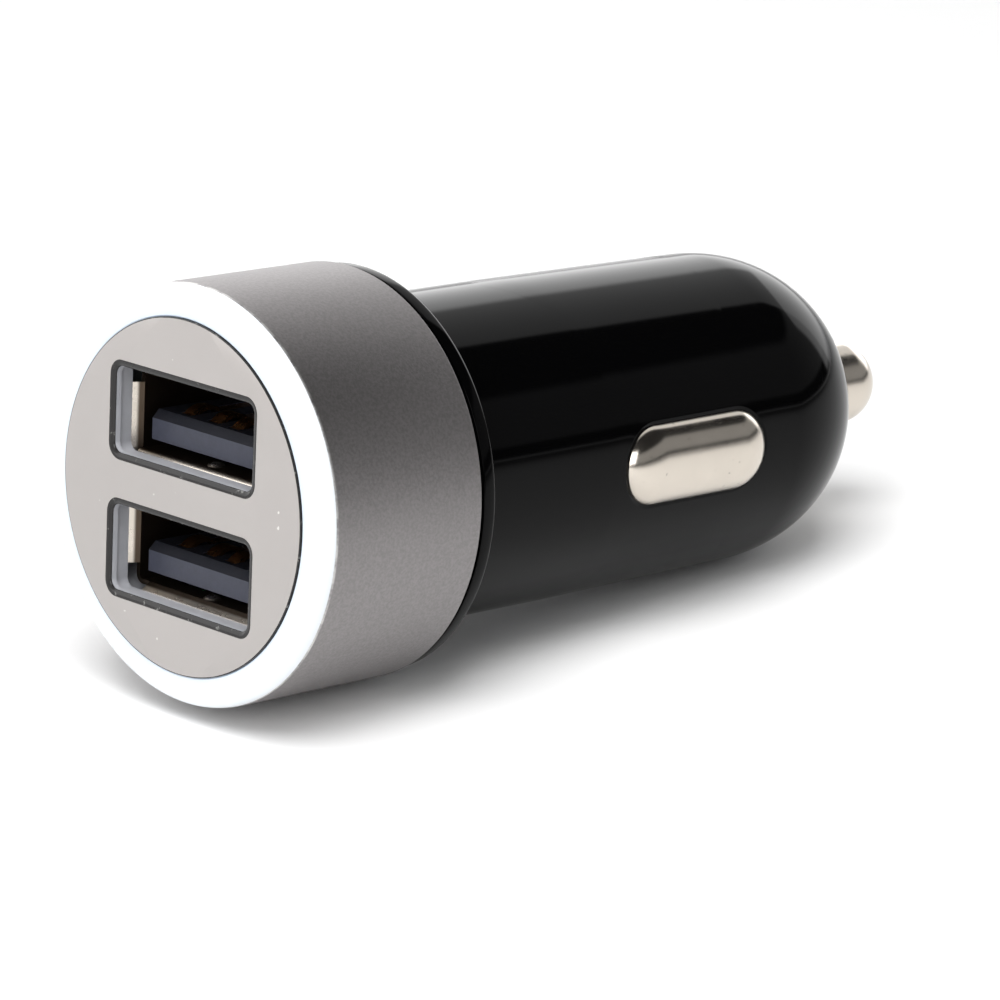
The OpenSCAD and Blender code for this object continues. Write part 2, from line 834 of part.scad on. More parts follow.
// Copper winding on the drum, in ridges of one wire each
module inductor_coil() {
    room = drum_h - 2 * drum_flange - 2 * press_gap;
    wire = room / drum_turns;
    ridge_r = coil_core_r - 0.7;
    color([0.72, 0.4, 0.2]) hung()
        translate([power_t / 2 + drum_flange + press_gap, 0, coil_core_z])
            rotate([0, 90, 0])
                rotate_extrude() {
                    translate([drum_hub_r + press_gap, 0])
                        square([ridge_r - drum_hub_r - press_gap, room]);
                    for (i = [0.5 : drum_turns])
                        translate([ridge_r, i * wire])
                            circle(wire / 2, $fn = 24);
                }
}

// Aluminium can lying on the power board, with a crimped neck and two bent leads
module lying_can(can) {
    d = can[0];
    length = can[1];
    neck = 1.6;
    translate([power_t / 2 + press_gap + d / 2, 0, can[2]]) {
        rotate_extrude()
            difference() {
                tube_section(0, d / 2, 0, length, 0.4);
                translate([d / 2 + 0.15, length - neck])
                    circle(0.45, $fn = 24);
            }
        for (side = [-1, 1]) {
            translate([0, side * d / 5, length - pin_d])
                cylinder(d = pin_d, h = pin_d + lead_bend, $fn = 24);
            translate([-d / 2 - press_gap - power_t - lead_out, side * d / 5, length + lead_bend])
                rotate([0, 90, 0])
                    cylinder(d = pin_d, h = d / 2 + press_gap + power_t + lead_out + pin_d / 2, $fn = 24);
        }
    }
}

module input_capacitor() { color([0.75, 0.76, 0.78]) hung() lying_can(input_can); }
module output_capacitor() { color([0.75, 0.76, 0.78]) hung() lying_can(output_can); }

// Domed cap with a rim inside the barrel, standing on the third axis
module side_contact() {
    straight = side_l - side_w;
    for (end = [0, 180])
        rotate([0, 0, end])
            translate([0, straight / 2, 0])
                rotate_extrude(angle = 180)
                    cap_section();
    for (side = [0, 180])
        rotate([0, 0, side])
            translate([0, straight / 2, 0])
                rotate([90, 0, 0])
                    linear_extrude(straight)
                        cap_section();
}

// Half section of the cap, from its middle line outwards
module cap_section() {
    difference() {
        union() {
            translate([0, rim_base])
                square([side_w / 2 + side_rim, side_t]);
            translate([0, rim_base])
                square([side_w / 2, side_top - side_crown - rim_base]);
            cap_top(side_w / 2, side_top, side_crown);
        }
        translate([0, rim_base - over])
            square([side_w / 2 - side_t, side_top - side_crown - rim_base + over]);
        cap_top(side_w / 2 - side_t, side_top - side_t, side_crown - side_t);
    }
}

// Crowned top of a cap section
module cap_top(half, top, rise) {
    polygon(concat([[0, top - rise - 0.01], [half, top - rise - 0.01]],
        rounded_end(half, top - rise, rise, side_full, 12)));
}

// Turn a piece's third axis to point sideways out of the barrel, at the side contacts
module at_side(side) {
    translate([0, 0, side_mid])
        rotate([side * -90, 0, 0])
            children();
}

module side_contact_left() { color("silver") lay_down() at_side(-1) side_contact(); }
module side_contact_right() { color("silver") lay_down() at_side(1) side_contact(); }

// Bowed leaf spring from the power board's edge to the inside of the cap
module side_leaf() {
    foot = power_neck_w / 2;
    share = leaf_w / (side_w - 2 * side_t);
    sunk = (side_crown - side_t) * (1 - pow(1 - pow(share, side_full), 1 / side_full));
    crown = side_top - side_t - sunk - press_gap;
    bow_r = (crown - foot) / 2 + 2.6;
    foot_l = 1.5;
    half = sqrt(pow(bow_r - leaf_t / 2, 2) - pow(crown - bow_r - foot - leaf_t / 2, 2));
    translate([leaf_w / 2, 0, 0])
        rotate([0, -90, 0])
            linear_extrude(leaf_w) {
                intersection() {
                    translate([crown - bow_r, 0])
                        difference() {
                            circle(bow_r);
                            circle(bow_r - leaf_t);
                        }
                    translate([foot, -bow_r])
                        square([bow_r * 2, bow_r * 2]);
                }
                for (side = [-1, 1])
                    translate([foot + leaf_t / 2, side * (half + foot_l / 2 - leaf_t / 2)])
                        square([leaf_t, foot_l], center = true);
            }
}

module side_leaf_left() { color([0.8, 0.72, 0.5]) lay_down() at_side(-1) side_leaf(); }
module side_leaf_right() { color([0.8, 0.72, 0.5]) lay_down() at_side(1) side_leaf(); }

// Plunger with a rounded nose, a collar behind the guide and a stub that centres the spring
module centre_contact() {
    stub_r = spring_r - spring_wire - 0.15;
    color("silver") lay_down()
        rotate_extrude()
            polygon(concat(
                [[0, collar_z - 1.5], [stub_r, collar_z - 1.5], [stub_r, collar_z], [collar_r, collar_z],
                    [collar_r, guide_z], [stem_r, guide_z], [stem_r, stem_end - stem_step],
                    [tip_r, stem_end]],
                nose_outline));
}

// Coil spring between the terminal and the centre contact's collar
module tip_spring() {
    color([0.7, 0.7, 0.72]) lay_down()
        translate([0, 0, spring_z + spring_wire / 2])
            coil(spring_r, spring_wire / 2, spring_turns, spring_l - spring_wire, 18, 6);
}

// Wire of a radius wound round the third axis
module coil(r, wire_r, turns, rise, steps, sides) {
    rings = steps * turns;
    points = [for (i = [0 : rings], j = [0 : sides - 1])
        let (a = 360 * i / steps, b = 360 * j / sides, d = r + wire_r * cos(b))
            [d * cos(a), d * sin(a), rise * i / rings + wire_r * sin(b)]];
    walls = [for (i = [0 : rings - 1], j = [0 : sides - 1])
        let (k = (j + 1) % sides)
            [i * sides + j, i * sides + k, (i + 1) * sides + k, (i + 1) * sides + j]];
    ends = [[for (j = [sides - 1 : -1 : 0]) j], [for (j = [0 : sides - 1]) rings * sides + j]];
    polyhedron(points, concat(walls, ends), 10);
}

// Brass seat of the spring, with a tab soldered to the power board's lighter side
module spring_terminal() {
    tab_l = 1.6;
    tab_t = 0.4;
    color([0.78, 0.65, 0.3]) hung() {
        translate([0, 0, terminal_z])
            cylinder(r = counter_r - press_gap, h = terminal_t);
        translate([-power_t / 2 - tab_t, -1.5, power_end - tab_l])
            cube([tab_t, 3, terminal_z - power_end + tab_l + 0.1]);
    }
}

face_plate();
light_ring();
port_frame();
head_sleeve();
barrel_housing();
light_board();
light_chips();
light_pins();
socket_shell();
socket_divider();
socket_block();
socket_contacts_upper();
socket_contacts_lower();
socket_board();
power_board();
converter_chips();
chip_parts();
inductor_core();
inductor_coil();
input_capacitor();
output_capacitor();
side_contact_left();
side_contact_right();
side_leaf_left();
side_leaf_right();
spring_terminal();
tip_spring();
centre_contact();
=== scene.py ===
"""Looks of a car charger plug with two ports in its head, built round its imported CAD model.

Every new piece is modelled about the plug's own axis: x is up, y is across and z runs along
the plug from the front edge of the metal sleeve to the tip. PLACE then lays it down.
"""

import json
import math

import bmesh
import bpy
from bpy.props import FloatProperty, FloatVectorProperty, PointerProperty
from mathutils import Matrix, Quaternion, Vector


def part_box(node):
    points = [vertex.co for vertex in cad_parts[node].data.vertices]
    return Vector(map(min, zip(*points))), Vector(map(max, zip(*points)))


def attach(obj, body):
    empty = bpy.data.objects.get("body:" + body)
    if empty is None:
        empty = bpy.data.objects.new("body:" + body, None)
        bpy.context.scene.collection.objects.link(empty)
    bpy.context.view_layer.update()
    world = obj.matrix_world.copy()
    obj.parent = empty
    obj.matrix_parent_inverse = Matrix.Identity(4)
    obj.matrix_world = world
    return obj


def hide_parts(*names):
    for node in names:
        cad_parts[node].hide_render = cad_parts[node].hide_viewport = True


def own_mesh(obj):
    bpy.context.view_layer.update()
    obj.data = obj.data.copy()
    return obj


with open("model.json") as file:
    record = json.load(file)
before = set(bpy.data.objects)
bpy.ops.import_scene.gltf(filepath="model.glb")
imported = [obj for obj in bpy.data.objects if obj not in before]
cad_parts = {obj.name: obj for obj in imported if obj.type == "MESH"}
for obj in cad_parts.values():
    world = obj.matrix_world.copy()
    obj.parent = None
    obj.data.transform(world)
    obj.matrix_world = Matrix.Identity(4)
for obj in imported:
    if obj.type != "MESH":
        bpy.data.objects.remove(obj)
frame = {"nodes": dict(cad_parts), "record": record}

bl_info = {
    "name": "Car charger plug",
    "version": (1, 0, 0),
    "blender": (4, 5, 0),
    "location": "View3D > Sidebar > Charger",
    "description": "Builds the visible pieces, finishes and studio of a car charger plug",
    "category": "Object",
}

MM = 0.001
WELD = 0.0005 * MM
SHARP_ANGLE = math.radians(30.0)
SLEEVE_GAP = 0.1 * MM
ELLIPSE = 2.0
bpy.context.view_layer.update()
NODES = frame["nodes"]
MOUNTS = {m["name"]: m for m in frame["record"]["mounts"]}
TRAVEL = {j["name"]: j["range_m"][1] for j in frame["record"]["behaviour"]["joints"]}


# Where the plug lies, and what its pieces measure

ALONG = Vector(MOUNTS["barrel"]["axis"]).normalized()
UP = Vector((-ALONG.z, 0.0, ALONG.x))
ACROSS = Vector((0.0, -1.0, 0.0))
AXIS_POINT = Vector(MOUNTS["barrel"]["pos_m"])
FRONT = AXIS_POINT + ALONG * min(
    (v.co - AXIS_POINT).dot(ALONG) for v in NODES["head_sleeve"].data.vertices)
PLACE = Matrix((UP, ACROSS, ALONG)).transposed().to_4x4()
PLACE.translation = FRONT
TO_PLUG = PLACE.inverted()


class Measure:
    """What a CAD node measures in the plug's own axes."""

    def __init__(self, node):
        points = [TO_PLUG @ v.co for v in NODES[node].data.vertices]
        radii = [math.hypot(p.x, p.y) for p in points]
        self.front = min(p.z for p in points)
        self.back = max(p.z for p in points)
        self.outer = max(radii)
        self.inner = min(radii)
        self.low = Vector(min(p[i] for p in points) for i in range(3))
        self.high = Vector(max(p[i] for p in points) for i in range(3))


SLEEVE = Measure("head_sleeve")
RING = Measure("light_ring")
PLATE = Measure("face_plate")
BARREL = Measure("barrel_housing")
CONTACT = Measure("side_contact_right")
TIP = Measure("centre_contact")
SHELL = Measure("socket_shell")
BARREL_R = MOUNTS["barrel"]["dims"]["r_mm"] * MM
TIP_R = MOUNTS["centre_contact_end"]["dims"]["r_mm"] * MM
FLANGE_BACK = (Vector(MOUNTS["socket_stop"]["pos_m"]) - FRONT).dot(ALONG)


# Sizes and colours that a user would change

def length(name, description, millimetres):
    """A size property whose default is given in millimetres."""
    return FloatProperty(name=name, description=description, default=millimetres * MM,
                         min=0.0, unit="LENGTH", precision=5)


def tint(name, description, colour):
    """A colour property."""
    return FloatVectorProperty(name=name, description=description, default=colour,
                               size=3, min=0.0, max=1.0, subtype="COLOR")


def share(name, description, value, top=1.0):
    """A plain number property from nought to a top value."""
    return FloatProperty(name=name, description=description, default=value, min=0.0, max=top)


class HeadSizes(bpy.types.PropertyGroup):
    """Sizes of the face plate, the light ring and the sleeve."""

    plate_edge: length("Plate edge", "Bevel round the face plate's rim", 0.08)
    window_w: length("Window width", "Width of a window in the face plate", 12.9)
    window_h: length("Window height", "Height of a window in the face plate", 5.45)
    window_r: length("Window corner", "Corner radius of a window", 0.6)
    window_pitch: length("Window pitch", "Distance between the middles of the windows", 8.7)
    window_bevel: length("Window bevel", "Width of the rounded band round a window", 0.42)
    window_sink: length("Window sink", "How deep that band rolls in", 0.18)
    ring_bulge: length("Ring bulge", "Rounding of the light ring's outer edge", 1.0)
    dimple_z: length("Dimple place", "Distance of a port's dimple behind its front edge", 1.3)
    sleeve_edge: length("Sleeve edge", "Rounding of the sleeve's two outer edges", 0.12)


class BarrelSizes(bpy.types.PropertyGroup):
    """Sizes of the barrel housing."""

    tail_r: length("Tail radius", "Radius where the dome begins", 10.28)
    barrel_l: length("Barrel length", "Length from the flange to the dome", 29.4)
    dome_l: length("Dome length", "Length of the dome", 11.0)
    dome_full: share("Dome fullness", "Fullness of the dome; 2 is an ellipse", 2.08, 4.0)
    wall: length("Wall", "Wall thickness of the barrel", 1.0)
    straight_l: length("Straight length", "Length of the straight part behind the flange", 12.7)
    flange_t: length("Flange thickness", "Thickness of the flange behind the sleeve", 1.5)
    groove_l: length("Groove length", "Length of the groove between sleeve and flange", 0.4)
    groove_depth: length("Groove depth", "Depth of that groove", 0.5)
    flange_bevel: length("Flange bevel", "Bevel of the flange's rear edge", 0.4)
    spigot_l: length("Spigot length", "Length of the spigot inside the sleeve", 6.9)
    window_gap: length("Window gap", "Gap between a side contact and the barrel round it", 0.14)
    window_round: length("Window rounding", "Rounding of the edge round a side contact", 0.04)
    guide_r: length("Guide radius", "Radius of the bore round the centre contact", 3.1)
    guide_l: length("Guide length", "Length of that bore", 2.3)
    boss_r: length("Boss radius", "Radius of the boss round the centre contact", 4.7)
    boss_l: length("Boss length", "Length of the boss inside the dome", 8.4)
    boss_wall: length("Boss wall", "Wall of the boss", 0.9)


class ContactSizes(bpy.types.PropertyGroup):
    """Sizes of the three sprung contacts."""

    side_w: length("Side width", "Width of a side contact", 5.3)
    side_l: length("Side length", "Length of a side contact", 12.6)
    side_rim: length("Side rim", "Rim that keeps a side contact in the barrel", 0.85)
    side_sheet: length("Side sheet", "Sheet metal of a side contact", 0.4)
    side_crown: length("Side crown", "Rise of a side contact's crown", 1.7)
    crown_full: share("Crown fullness", "Fullness of the crown; 2 is an ellipse", 2.05, 4.0)
    nose_l: length("Nose length", "Length of the centre contact's rounded nose", 2.7)
    collar_w: length("Collar width", "Width of the centre contact's collar", 0.92)
    collar_t: length("Collar thickness", "Thickness of that collar", 1.2)
    stem_step: length("Stem step", "How much thicker the guided stem is than the free end", 0.22)
    stem_l: length("Stem length", "Length of the guided stem", 2.75)
    stub_l: length("Stub length", "Length of the stub that centres the spring", 1.5)
    stub_r: length("Stub radius", "Radius of that stub", 2.545)


class Finishes(bpy.types.PropertyGroup):
    """Colours of the finishes."""

    plate: tint("Plate", "Satin warm grey of the face plate", (0.330, 0.308, 0.296))
    plate_rim: tint("Plate rim", "Polished bands of the face plate", (0.012, 0.011, 0.011))
    glow_in: tint("Glow inside", "Light of the ring next to the plate", (0.45, 0.68, 1.0))
    glow_out: tint("Glow outside", "Light of the ring at its outer edge", (0.97, 0.99, 1.0))
    frame_grey: tint("Frame", "Moulded grey of the window walls", (0.37, 0.375, 0.40))
    gunmetal: tint("Gunmetal", "Anodised metal of the sleeve", (0.27, 0.257, 0.257))
    black: tint("Black", "Glossy black of the barrel", (0.0008, 0.0008, 0.0009))
    nickel: tint("Nickel", "Plated contacts and socket shell", (0.64, 0.585, 0.515))
    insulator: tint("Insulator", "Slate black of the tongues", (0.040, 0.043, 0.062))
    copper: tint("Copper", "Contact strips", (0.42, 0.22, 0.09))
    board: tint("Board", "Solder mask of the circuit boards", (0.02, 0.11, 0.05))
    floor: tint("Floor", "Pale floor and backdrop", (0.93, 0.93, 0.93))


class StudioSettings(bpy.types.PropertyGroup):
    """Camera and lamps."""

    camera_place: FloatVectorProperty(
        name="Camera place", description="Where the camera stands", size=3, subtype="TRANSLATION",
        default=(-222.3 * MM, -235.2 * MM, 109.4 * MM))
    camera_aim: FloatVectorProperty(
        name="Camera aim", description="What the camera looks at", size=3, subtype="TRANSLATION",
        default=(-7.81 * MM, -4.96 * MM, 10.02 * MM))
    camera_roll: FloatProperty(
        name="Camera roll", description="Turn of the camera about its own line of sight",
        default=math.radians(-1.29), subtype="ANGLE")
    lens: FloatProperty(name="Lens", description="Focal length in millimetres", default=188.57,
                        min=1.0, subtype="DISTANCE_CAMERA")
    softbox: share("Softbox", "High softbox behind the plug, as a share of white", 0.4, 10.0)
    fill: share("Fill", "Light from all round, as a share of white", 0.39, 10.0)
    overhead: share("Overhead", "High lamp before the plug, as a share of white", 7.0, 10.0)
    front_light: share("Front light", "Low lamp before the head, as a share of white", 3.1, 10.0)
    side_light: share("Side light", "Small lamp before the face, as a share of white", 3.0, 10.0)
    dark_side: share("Dark side", "What the unlit front of the studio reflects", 0.02)
    panel: share("Panel", "What a dim panel in the unlit front reflects", 0.3)
    dim_roof: share("Dim roof", "What the roof above the plug reflects", 0.95)
    bright_back: share("Bright back", "What the lit rear of the studio reflects", 2.4, 10.0)
    floor_r: length("Floor radius", "Radius of the floor", 3000.0)


# Modelling helpers

def rounded(centre, r, start, end, steps):
    """Points on an arc of a half section, from one angle to another in degrees."""
    turn = [math.radians(start + (end - start) * i / steps) for i in range(steps + 1)]
    return [(centre[0] + r * math.cos(a), centre[1] + r * math.sin(a)) for a in turn]


def quarter(steps):
    """Angles of a quarter turn."""
    return [math.radians(90 * i / steps) for i in range(steps + 1)]


def super_arc(r, z, rise, full, steps):
    """Points of a rounded end, from its widest circle to its pole."""
    power = 2 / full
    return [(r * max(math.cos(a), 0.0) ** power, z + rise * math.sin(a) ** power)
            for a in quarter(steps)]


def chain(bm, points, closed=False):
    """Join points by edges, and return the vertices and edges."""
    verts = [bm.verts.new(p) for p in points]
    pairs = list(zip(verts, verts[1:]))
    if closed:
        pairs.append((verts[-1], verts[0]))
    return verts, [bm.edges.new(pair) for pair in pairs]


def lathe(bm, section, steps, closed=False):
    """Turn a half section of (radius, along) points about the plug's axis."""
    verts, edges = chain(bm, [(r, 0.0, z) for r, z in section], closed)
    bmesh.ops.spin(bm, geom=verts + edges, cent=(0, 0, 0), axis=(0, 0, 1), dvec=(0, 0, 0),
                   angle=math.tau, steps=steps, use_merge=True)


def bridge(bm, loops):
    """Skin a row of closed loops of edges, each to the next."""
    for first, second in zip(loops, loops[1:]):
        bmesh.ops.bridge_loops(bm, edges=first + second)


def rounded_rect(height, width, r, middle, steps=8):
    """Outline of (x, y) points of an upright rectangle with round corners."""
    points = []
    for i, (sx, sy) in enumerate(((1, 1), (-1, 1), (-1, -1), (1, -1))):
        corner = (middle + sx * (height / 2 - r), sy * (width / 2 - r))
        points += rounded(corner, r, 90 * i, 90 * (i + 1), steps)
    return points


def stadium(width, whole, middle, arc_steps, side_steps):
    """Outline of (x, z) points of a slot with round ends that runs along the plug."""
    half, straight = width / 2, (whole - width) / 2
    points = rounded((0.0, middle - straight), half, 180, 360, arc_steps)
    points += [(half, middle + straight * (2 * i / side_steps - 1)) for i in range(1, side_steps)]
    points += rounded((0.0, middle + straight), half, 0, 180, arc_steps)
    points += [(-half, middle - straight * (2 * i / side_steps - 1)) for i in range(1, side_steps)]
    return points


def finish_piece(bm, name, body, materials, replaced):
    """Clean a mesh, lay it down, hang it on its body, and hide the CAD nodes it replaces."""
    bmesh.ops.remove_doubles(bm, verts=bm.verts[:], dist=WELD)
    bmesh.ops.recalc_face_normals(bm, faces=bm.faces[:])
    bmesh.ops.transform(bm, matrix=PLACE, verts=bm.verts[:])
    mesh = bpy.data.meshes.new(name)
    bm.to_mesh(mesh)
    bm.free()
    for face in mesh.polygons:
        face.use_smooth = True
    mesh.set_sharp_from_angle(angle=SHARP_ANGLE)
    for material in materials:
        mesh.materials.append(material)
    piece = bpy.data.objects.new(name, mesh)
    bpy.context.scene.collection.objects.link(piece)
    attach(piece, body)
    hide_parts(*replaced)
    return piece


def even_shading(piece):
    """Let the broad faces of a piece lead its shading, so narrow bevels don't tint them."""
    piece.modifiers.new("even_shading", "WEIGHTED_NORMAL").keep_sharp = True


def dress(material, *nodes):
    """Give CAD nodes a finish."""
    for node in nodes:
        for holder in NODES[node].material_slots:
            holder.material = material


# Shader helpers

class Value:
    """A number in a shader. An expression on it adds Math nodes."""

    def __init__(self, tree, socket):
        self.tree = tree
        self.socket = socket

    def _math(self, operation, first, second):
        node = self.tree.nodes.new("ShaderNodeMath")
        node.operation = operation
        for place, item in enumerate((first, second)):
            if isinstance(item, Value):
                self.tree.links.new(item.socket, node.inputs[place])
            else:
                node.inputs[place].default_value = item
        return Value(self.tree, node.outputs[0])

    def __add__(self, other):
        return self._math("ADD", self, other)

    def __radd__(self, other):
        return self._math("ADD", other, self)

    def __sub__(self, other):
        return self._math("SUBTRACT", self, other)

    def __rsub__(self, other):
        return self._math("SUBTRACT", other, self)

    def __mul__(self, other):
        return self._math("MULTIPLY", self, other)

    def __rmul__(self, other):
        return self._math("MULTIPLY", other, self)

    def __pow__(self, other):
        return self._math("POWER", self, other)

    def __rpow__(self, other):
        return self._math("POWER", other, self)


class Shader:
    """One material, or the world, and the nodes in it."""

    def __init__(self, holder):
        holder.use_nodes = True
        self.holder = holder
        self.tree = holder.node_tree
        self.tree.nodes.clear()

    def node(self, kind, settings=None, **inputs):
        """Add a node: its settings first, then its sockets' values or links."""
        made = self.tree.nodes.new("ShaderNode" + kind)
        for name, setting in (settings or {}).items():
            setattr(made, name, setting)
        for name, item in inputs.items():
            socket = self.socket(made, name)
            if isinstance(item, Value):
                self.tree.links.new(item.socket, socket)
            elif isinstance(item, bpy.types.NodeSocket):
                self.tree.links.new(item, socket)
            else:
                socket.default_value = item
        return made

    @staticmethod
    def socket(made, name):
        """The input with a name, or with a number after an underscore."""
        if name[0] == "_":
            return made.inputs[int(name[1:])]
        return made.inputs[name.replace("_", " ")]

    def value(self, made, output=0):
        """A node's output as a number that expressions take."""
        return Value(self.tree, made.outputs[output])

    def coords(self):
        """The place on the piece, in metres."""
        return self.node("TexCoord").outputs["Object"]

    def noise(self, scale, detail=3.0, roughness=0.5):
        """Noise from 0 to 1, with a scale in features for each metre."""
        made = self.node("TexNoise", Vector=self.coords(), Scale=scale, Detail=detail,
                         Roughness=roughness)
        return self.value(made)

    def smooth(self, value, low, high):
        """A number that goes smoothly from 0 to 1 as the value passes from low to high."""
        made = self.node("MapRange", {"interpolation_type": "SMOOTHSTEP"}, Value=value,
                         _1=low, _2=high)
        return self.value(made)

    def mix(self, factor, first, second):
        """A blend of two colours."""
        made = self.node("Mix", {"data_type": "RGBA"}, _0=factor, _6=first, _7=second)
        return made.outputs[2]

    def from_front(self):
        """The place on the piece, seen from the middle of the sleeve's front edge."""
        made = self.node("VectorMath", {"operation": "SUBTRACT"}, _0=self.coords(), _1=FRONT)
        return made.outputs[0]

    def along(self):
        """Distance along the plug from the sleeve's front edge."""
        made = self.node("VectorMath", {"operation": "DOT_PRODUCT"}, _0=self.from_front(), _1=ALONG)
        return self.value(made, 1)

    def radius(self):
        """Distance from the plug's axis."""
        along = self.along()
        made = self.node("VectorMath", {"operation": "LENGTH"}, _0=self.from_front())
        whole = self.value(made, 1)
        return (whole * whole - along * along) ** 0.5

    def bump(self, height, strength, distance):
        """Normals of a bumpy surface."""
        made = self.node("Bump", Strength=strength, Distance=distance, Height=height)
        return made.outputs[0]

    def surface(self, **inputs):
        """Close the material with a Principled shader."""
        made = self.node("BsdfPrincipled", **inputs)
        self.node("OutputMaterial", Surface=made.outputs[0])
        return self.holder


def rgba(colour):
    """A colour property with full opacity."""
    return (*colour, 1.0)


def shade(colour, amount):
    """A colour made darker or lighter."""
    return (*(c * amount for c in colour), 1.0)


def new_shader(name):
    """A shader for a new material."""
    return Shader(bpy.data.materials.new(name))


# Finishes

DUST = (0.85, 0.84, 0.82)
# Lighter nicks on the polished bevels, partly painted glints
NICKS_AND_GLINTS = (0.22, 0.22, 0.21)
MILK = (0.57, 0.60, 0.63)
WORN_METAL = (0.72, 0.71, 0.70)
# Painted shade deep in the ports
PORT_SHADE = (0.10, 0.075, 0.055)
# Where a change in a finish, wear or painted shade, is nothing, and where it is full
WORN_EDGE = (0.22 * MM, 0.08 * MM)
# Painted shade in the ports begins behind the lips and is full a little further in
PORT_SHADE_START = (SHELL.front + 0.2 * MM, SHELL.front + 0.42 * MM)
# Painted shade is left out this near a dimple, so it can catch a glint
DIMPLE_EDGE = (0.45 * MM, 0.65 * MM)
# How far up a tongue's surface must face for its painted shade to begin and to be full
UP_FACING_SHADE = (0.25, 0.5)


def satin_plate():
    """Warm grey face with a soft sheen and a few fine specks of dust."""
    look = bpy.context.scene.charger_finishes
    s = new_shader("satin_plate")
    cloud = s.noise(120.0, 2.0)
    specks = s.smooth(s.noise(1400.0, 1.0), 0.77, 0.80)
    colour = s.mix(cloud, shade(look.plate, 0.95), shade(look.plate, 1.05))
    colour = s.mix(specks * 0.5, colour, rgba(DUST))
    return s.surface(Base_Color=colour, Roughness=0.26 + cloud * 0.08, Coat_Weight=0.5,
                     Coat_Roughness=0.12, Normal=s.bump(s.noise(9000.0, 2.0), 0.05, 0.00002))


def polished_bevel():
    """Cut and polished bevels, which catch bright glints; their lighter nicks are partly painted
    glints.
    """
    look = bpy.context.scene.charger_finishes
    s = new_shader("polished_bevel")
    nicks = s.noise(1500.0, 4.0, 0.7)
    # lighter nicks, partly painted glints on the dark bands
    colour = s.mix(s.smooth(nicks, 0.60, 0.74), rgba(look.plate_rim), rgba(NICKS_AND_GLINTS))
    return s.surface(Base_Color=colour, IOR=1.38, Roughness=0.08 + nicks * 0.1,
                     Normal=s.bump(nicks, 0.12, 0.00003))


def lit_diffuser():
    """Milky ring that glows pale blue next to the plate and white at its edge."""
    look = bpy.context.scene.charger_finishes
    s = new_shader("lit_diffuser")
    outwards = s.smooth(s.radius(), RING.inner, RING.outer)
    glow = s.mix(outwards, rgba(look.glow_in), rgba(look.glow_out))
    return s.surface(Base_Color=rgba(MILK), Roughness=0.28, Emission_Color=glow,
                     Emission_Strength=0.2, Normal=s.bump(s.noise(500.0, 2.0), 0.06, 0.0001))


def moulded_grey():
    """Grey moulding of the window walls."""
    look = bpy.context.scene.charger_finishes
    s = new_shader("moulded_grey")
    cloud = s.noise(900.0, 4.0)
    colour = s.mix(cloud, shade(look.frame_grey, 0.85), shade(look.frame_grey, 1.15))
    return s.surface(Base_Color=colour, Roughness=0.36 + cloud * 0.15,
                     Normal=s.bump(s.noise(6000.0, 2.0), 0.15, 0.00002))


def blasted_gunmetal():
    """Bead-blasted anodised metal: fine grain, and a bright worn line at the front edge."""
    look = bpy.context.scene.charger_finishes
    s = new_shader("blasted_gunmetal")
    grain = s.noise(5200.0, 3.0, 0.65)
    cloud = s.noise(140.0, 2.0)
    worn = s.smooth(s.along(), *WORN_EDGE) * s.smooth(s.noise(700.0, 4.0, 0.7), 0.35, 0.6)
    colour = s.mix(s.smooth(grain, 0.3, 0.7) * 0.75 + cloud * 0.25, shade(look.gunmetal, 0.84),
                   shade(look.gunmetal, 1.16))
    colour = s.mix(worn * 0.7, colour, rgba(WORN_METAL))
    return s.surface(Base_Color=colour, Metallic=1.0, Roughness=0.47 + grain * 0.12,
                     Normal=s.bump(grain, 0.4, 0.00003))


def gloss_black():
    """Polished black moulding with a faint flow in its surface."""
    look = bpy.context.scene.charger_finishes
    s = new_shader("gloss_black")
    flow = s.noise(60.0, 2.0)
    haze = s.noise(2500.0, 3.0, 0.6)
    colour = s.mix(haze, shade(look.black, 0.9), shade(look.black, 1.3))
    return s.surface(Base_Color=colour, Roughness=0.05 + haze * 0.05, Specular_IOR_Level=0.09,
                     Normal=s.bump(flow, 0.08, 0.0002))


def plated_nickel(name="plated_nickel", roughness=0.13):
    """Bright nickel plating with a warm cast, faint wipe marks and tiny pits."""
    look = bpy.context.scene.charger_finishes
    s = new_shader(name)
    cloud = s.noise(420.0, 4.0, 0.6)
    wipes = s.noise(3000.0, 2.0)
    pits = s.smooth(s.noise(2300.0, 1.0), 0.72, 0.78)
    colour = s.mix(cloud, shade(look.nickel, 0.88), shade(look.nickel, 1.06))
    colour = s.mix(pits * 0.6, colour, shade(look.nickel, 0.45))
    return s.surface(Base_Color=colour, Metallic=1.0, Roughness=roughness + cloud * 0.1,
                     Normal=s.bump(wipes, 0.04, 0.00002))


def socket_nickel():
    """Nickel of the ports' shell, bright at its lips, with painted shade darkening it further in,
    left out round the dimples so they catch a glint.
    """
    look = bpy.context.scene.charger_finishes
    size = bpy.context.scene.charger_head
    s = new_shader("socket_nickel")
    along = s.along()
    cloud = s.noise(900.0, 4.0, 0.6)
    across = s.value(s.node("SeparateXYZ", Vector=s.coords()), 1)
    behind = along - (SHELL.front + size.dimple_z)
    off_dimple = (across * across + behind * behind) ** 0.5
    # painted shade: the shell is darkened behind its lips, but not round the dimples, which stay
    # bright to catch a glint
    inside = s.smooth(along, *PORT_SHADE_START) * s.smooth(off_dimple, *DIMPLE_EDGE)
    colour = s.mix(inside, shade(look.nickel, 1.05), rgba(PORT_SHADE))
    return s.surface(Base_Color=colour, Metallic=1.0, Roughness=0.2 + cloud * 0.15 + inside * 0.1,
                     Normal=s.bump(cloud, 0.06, 0.00002))


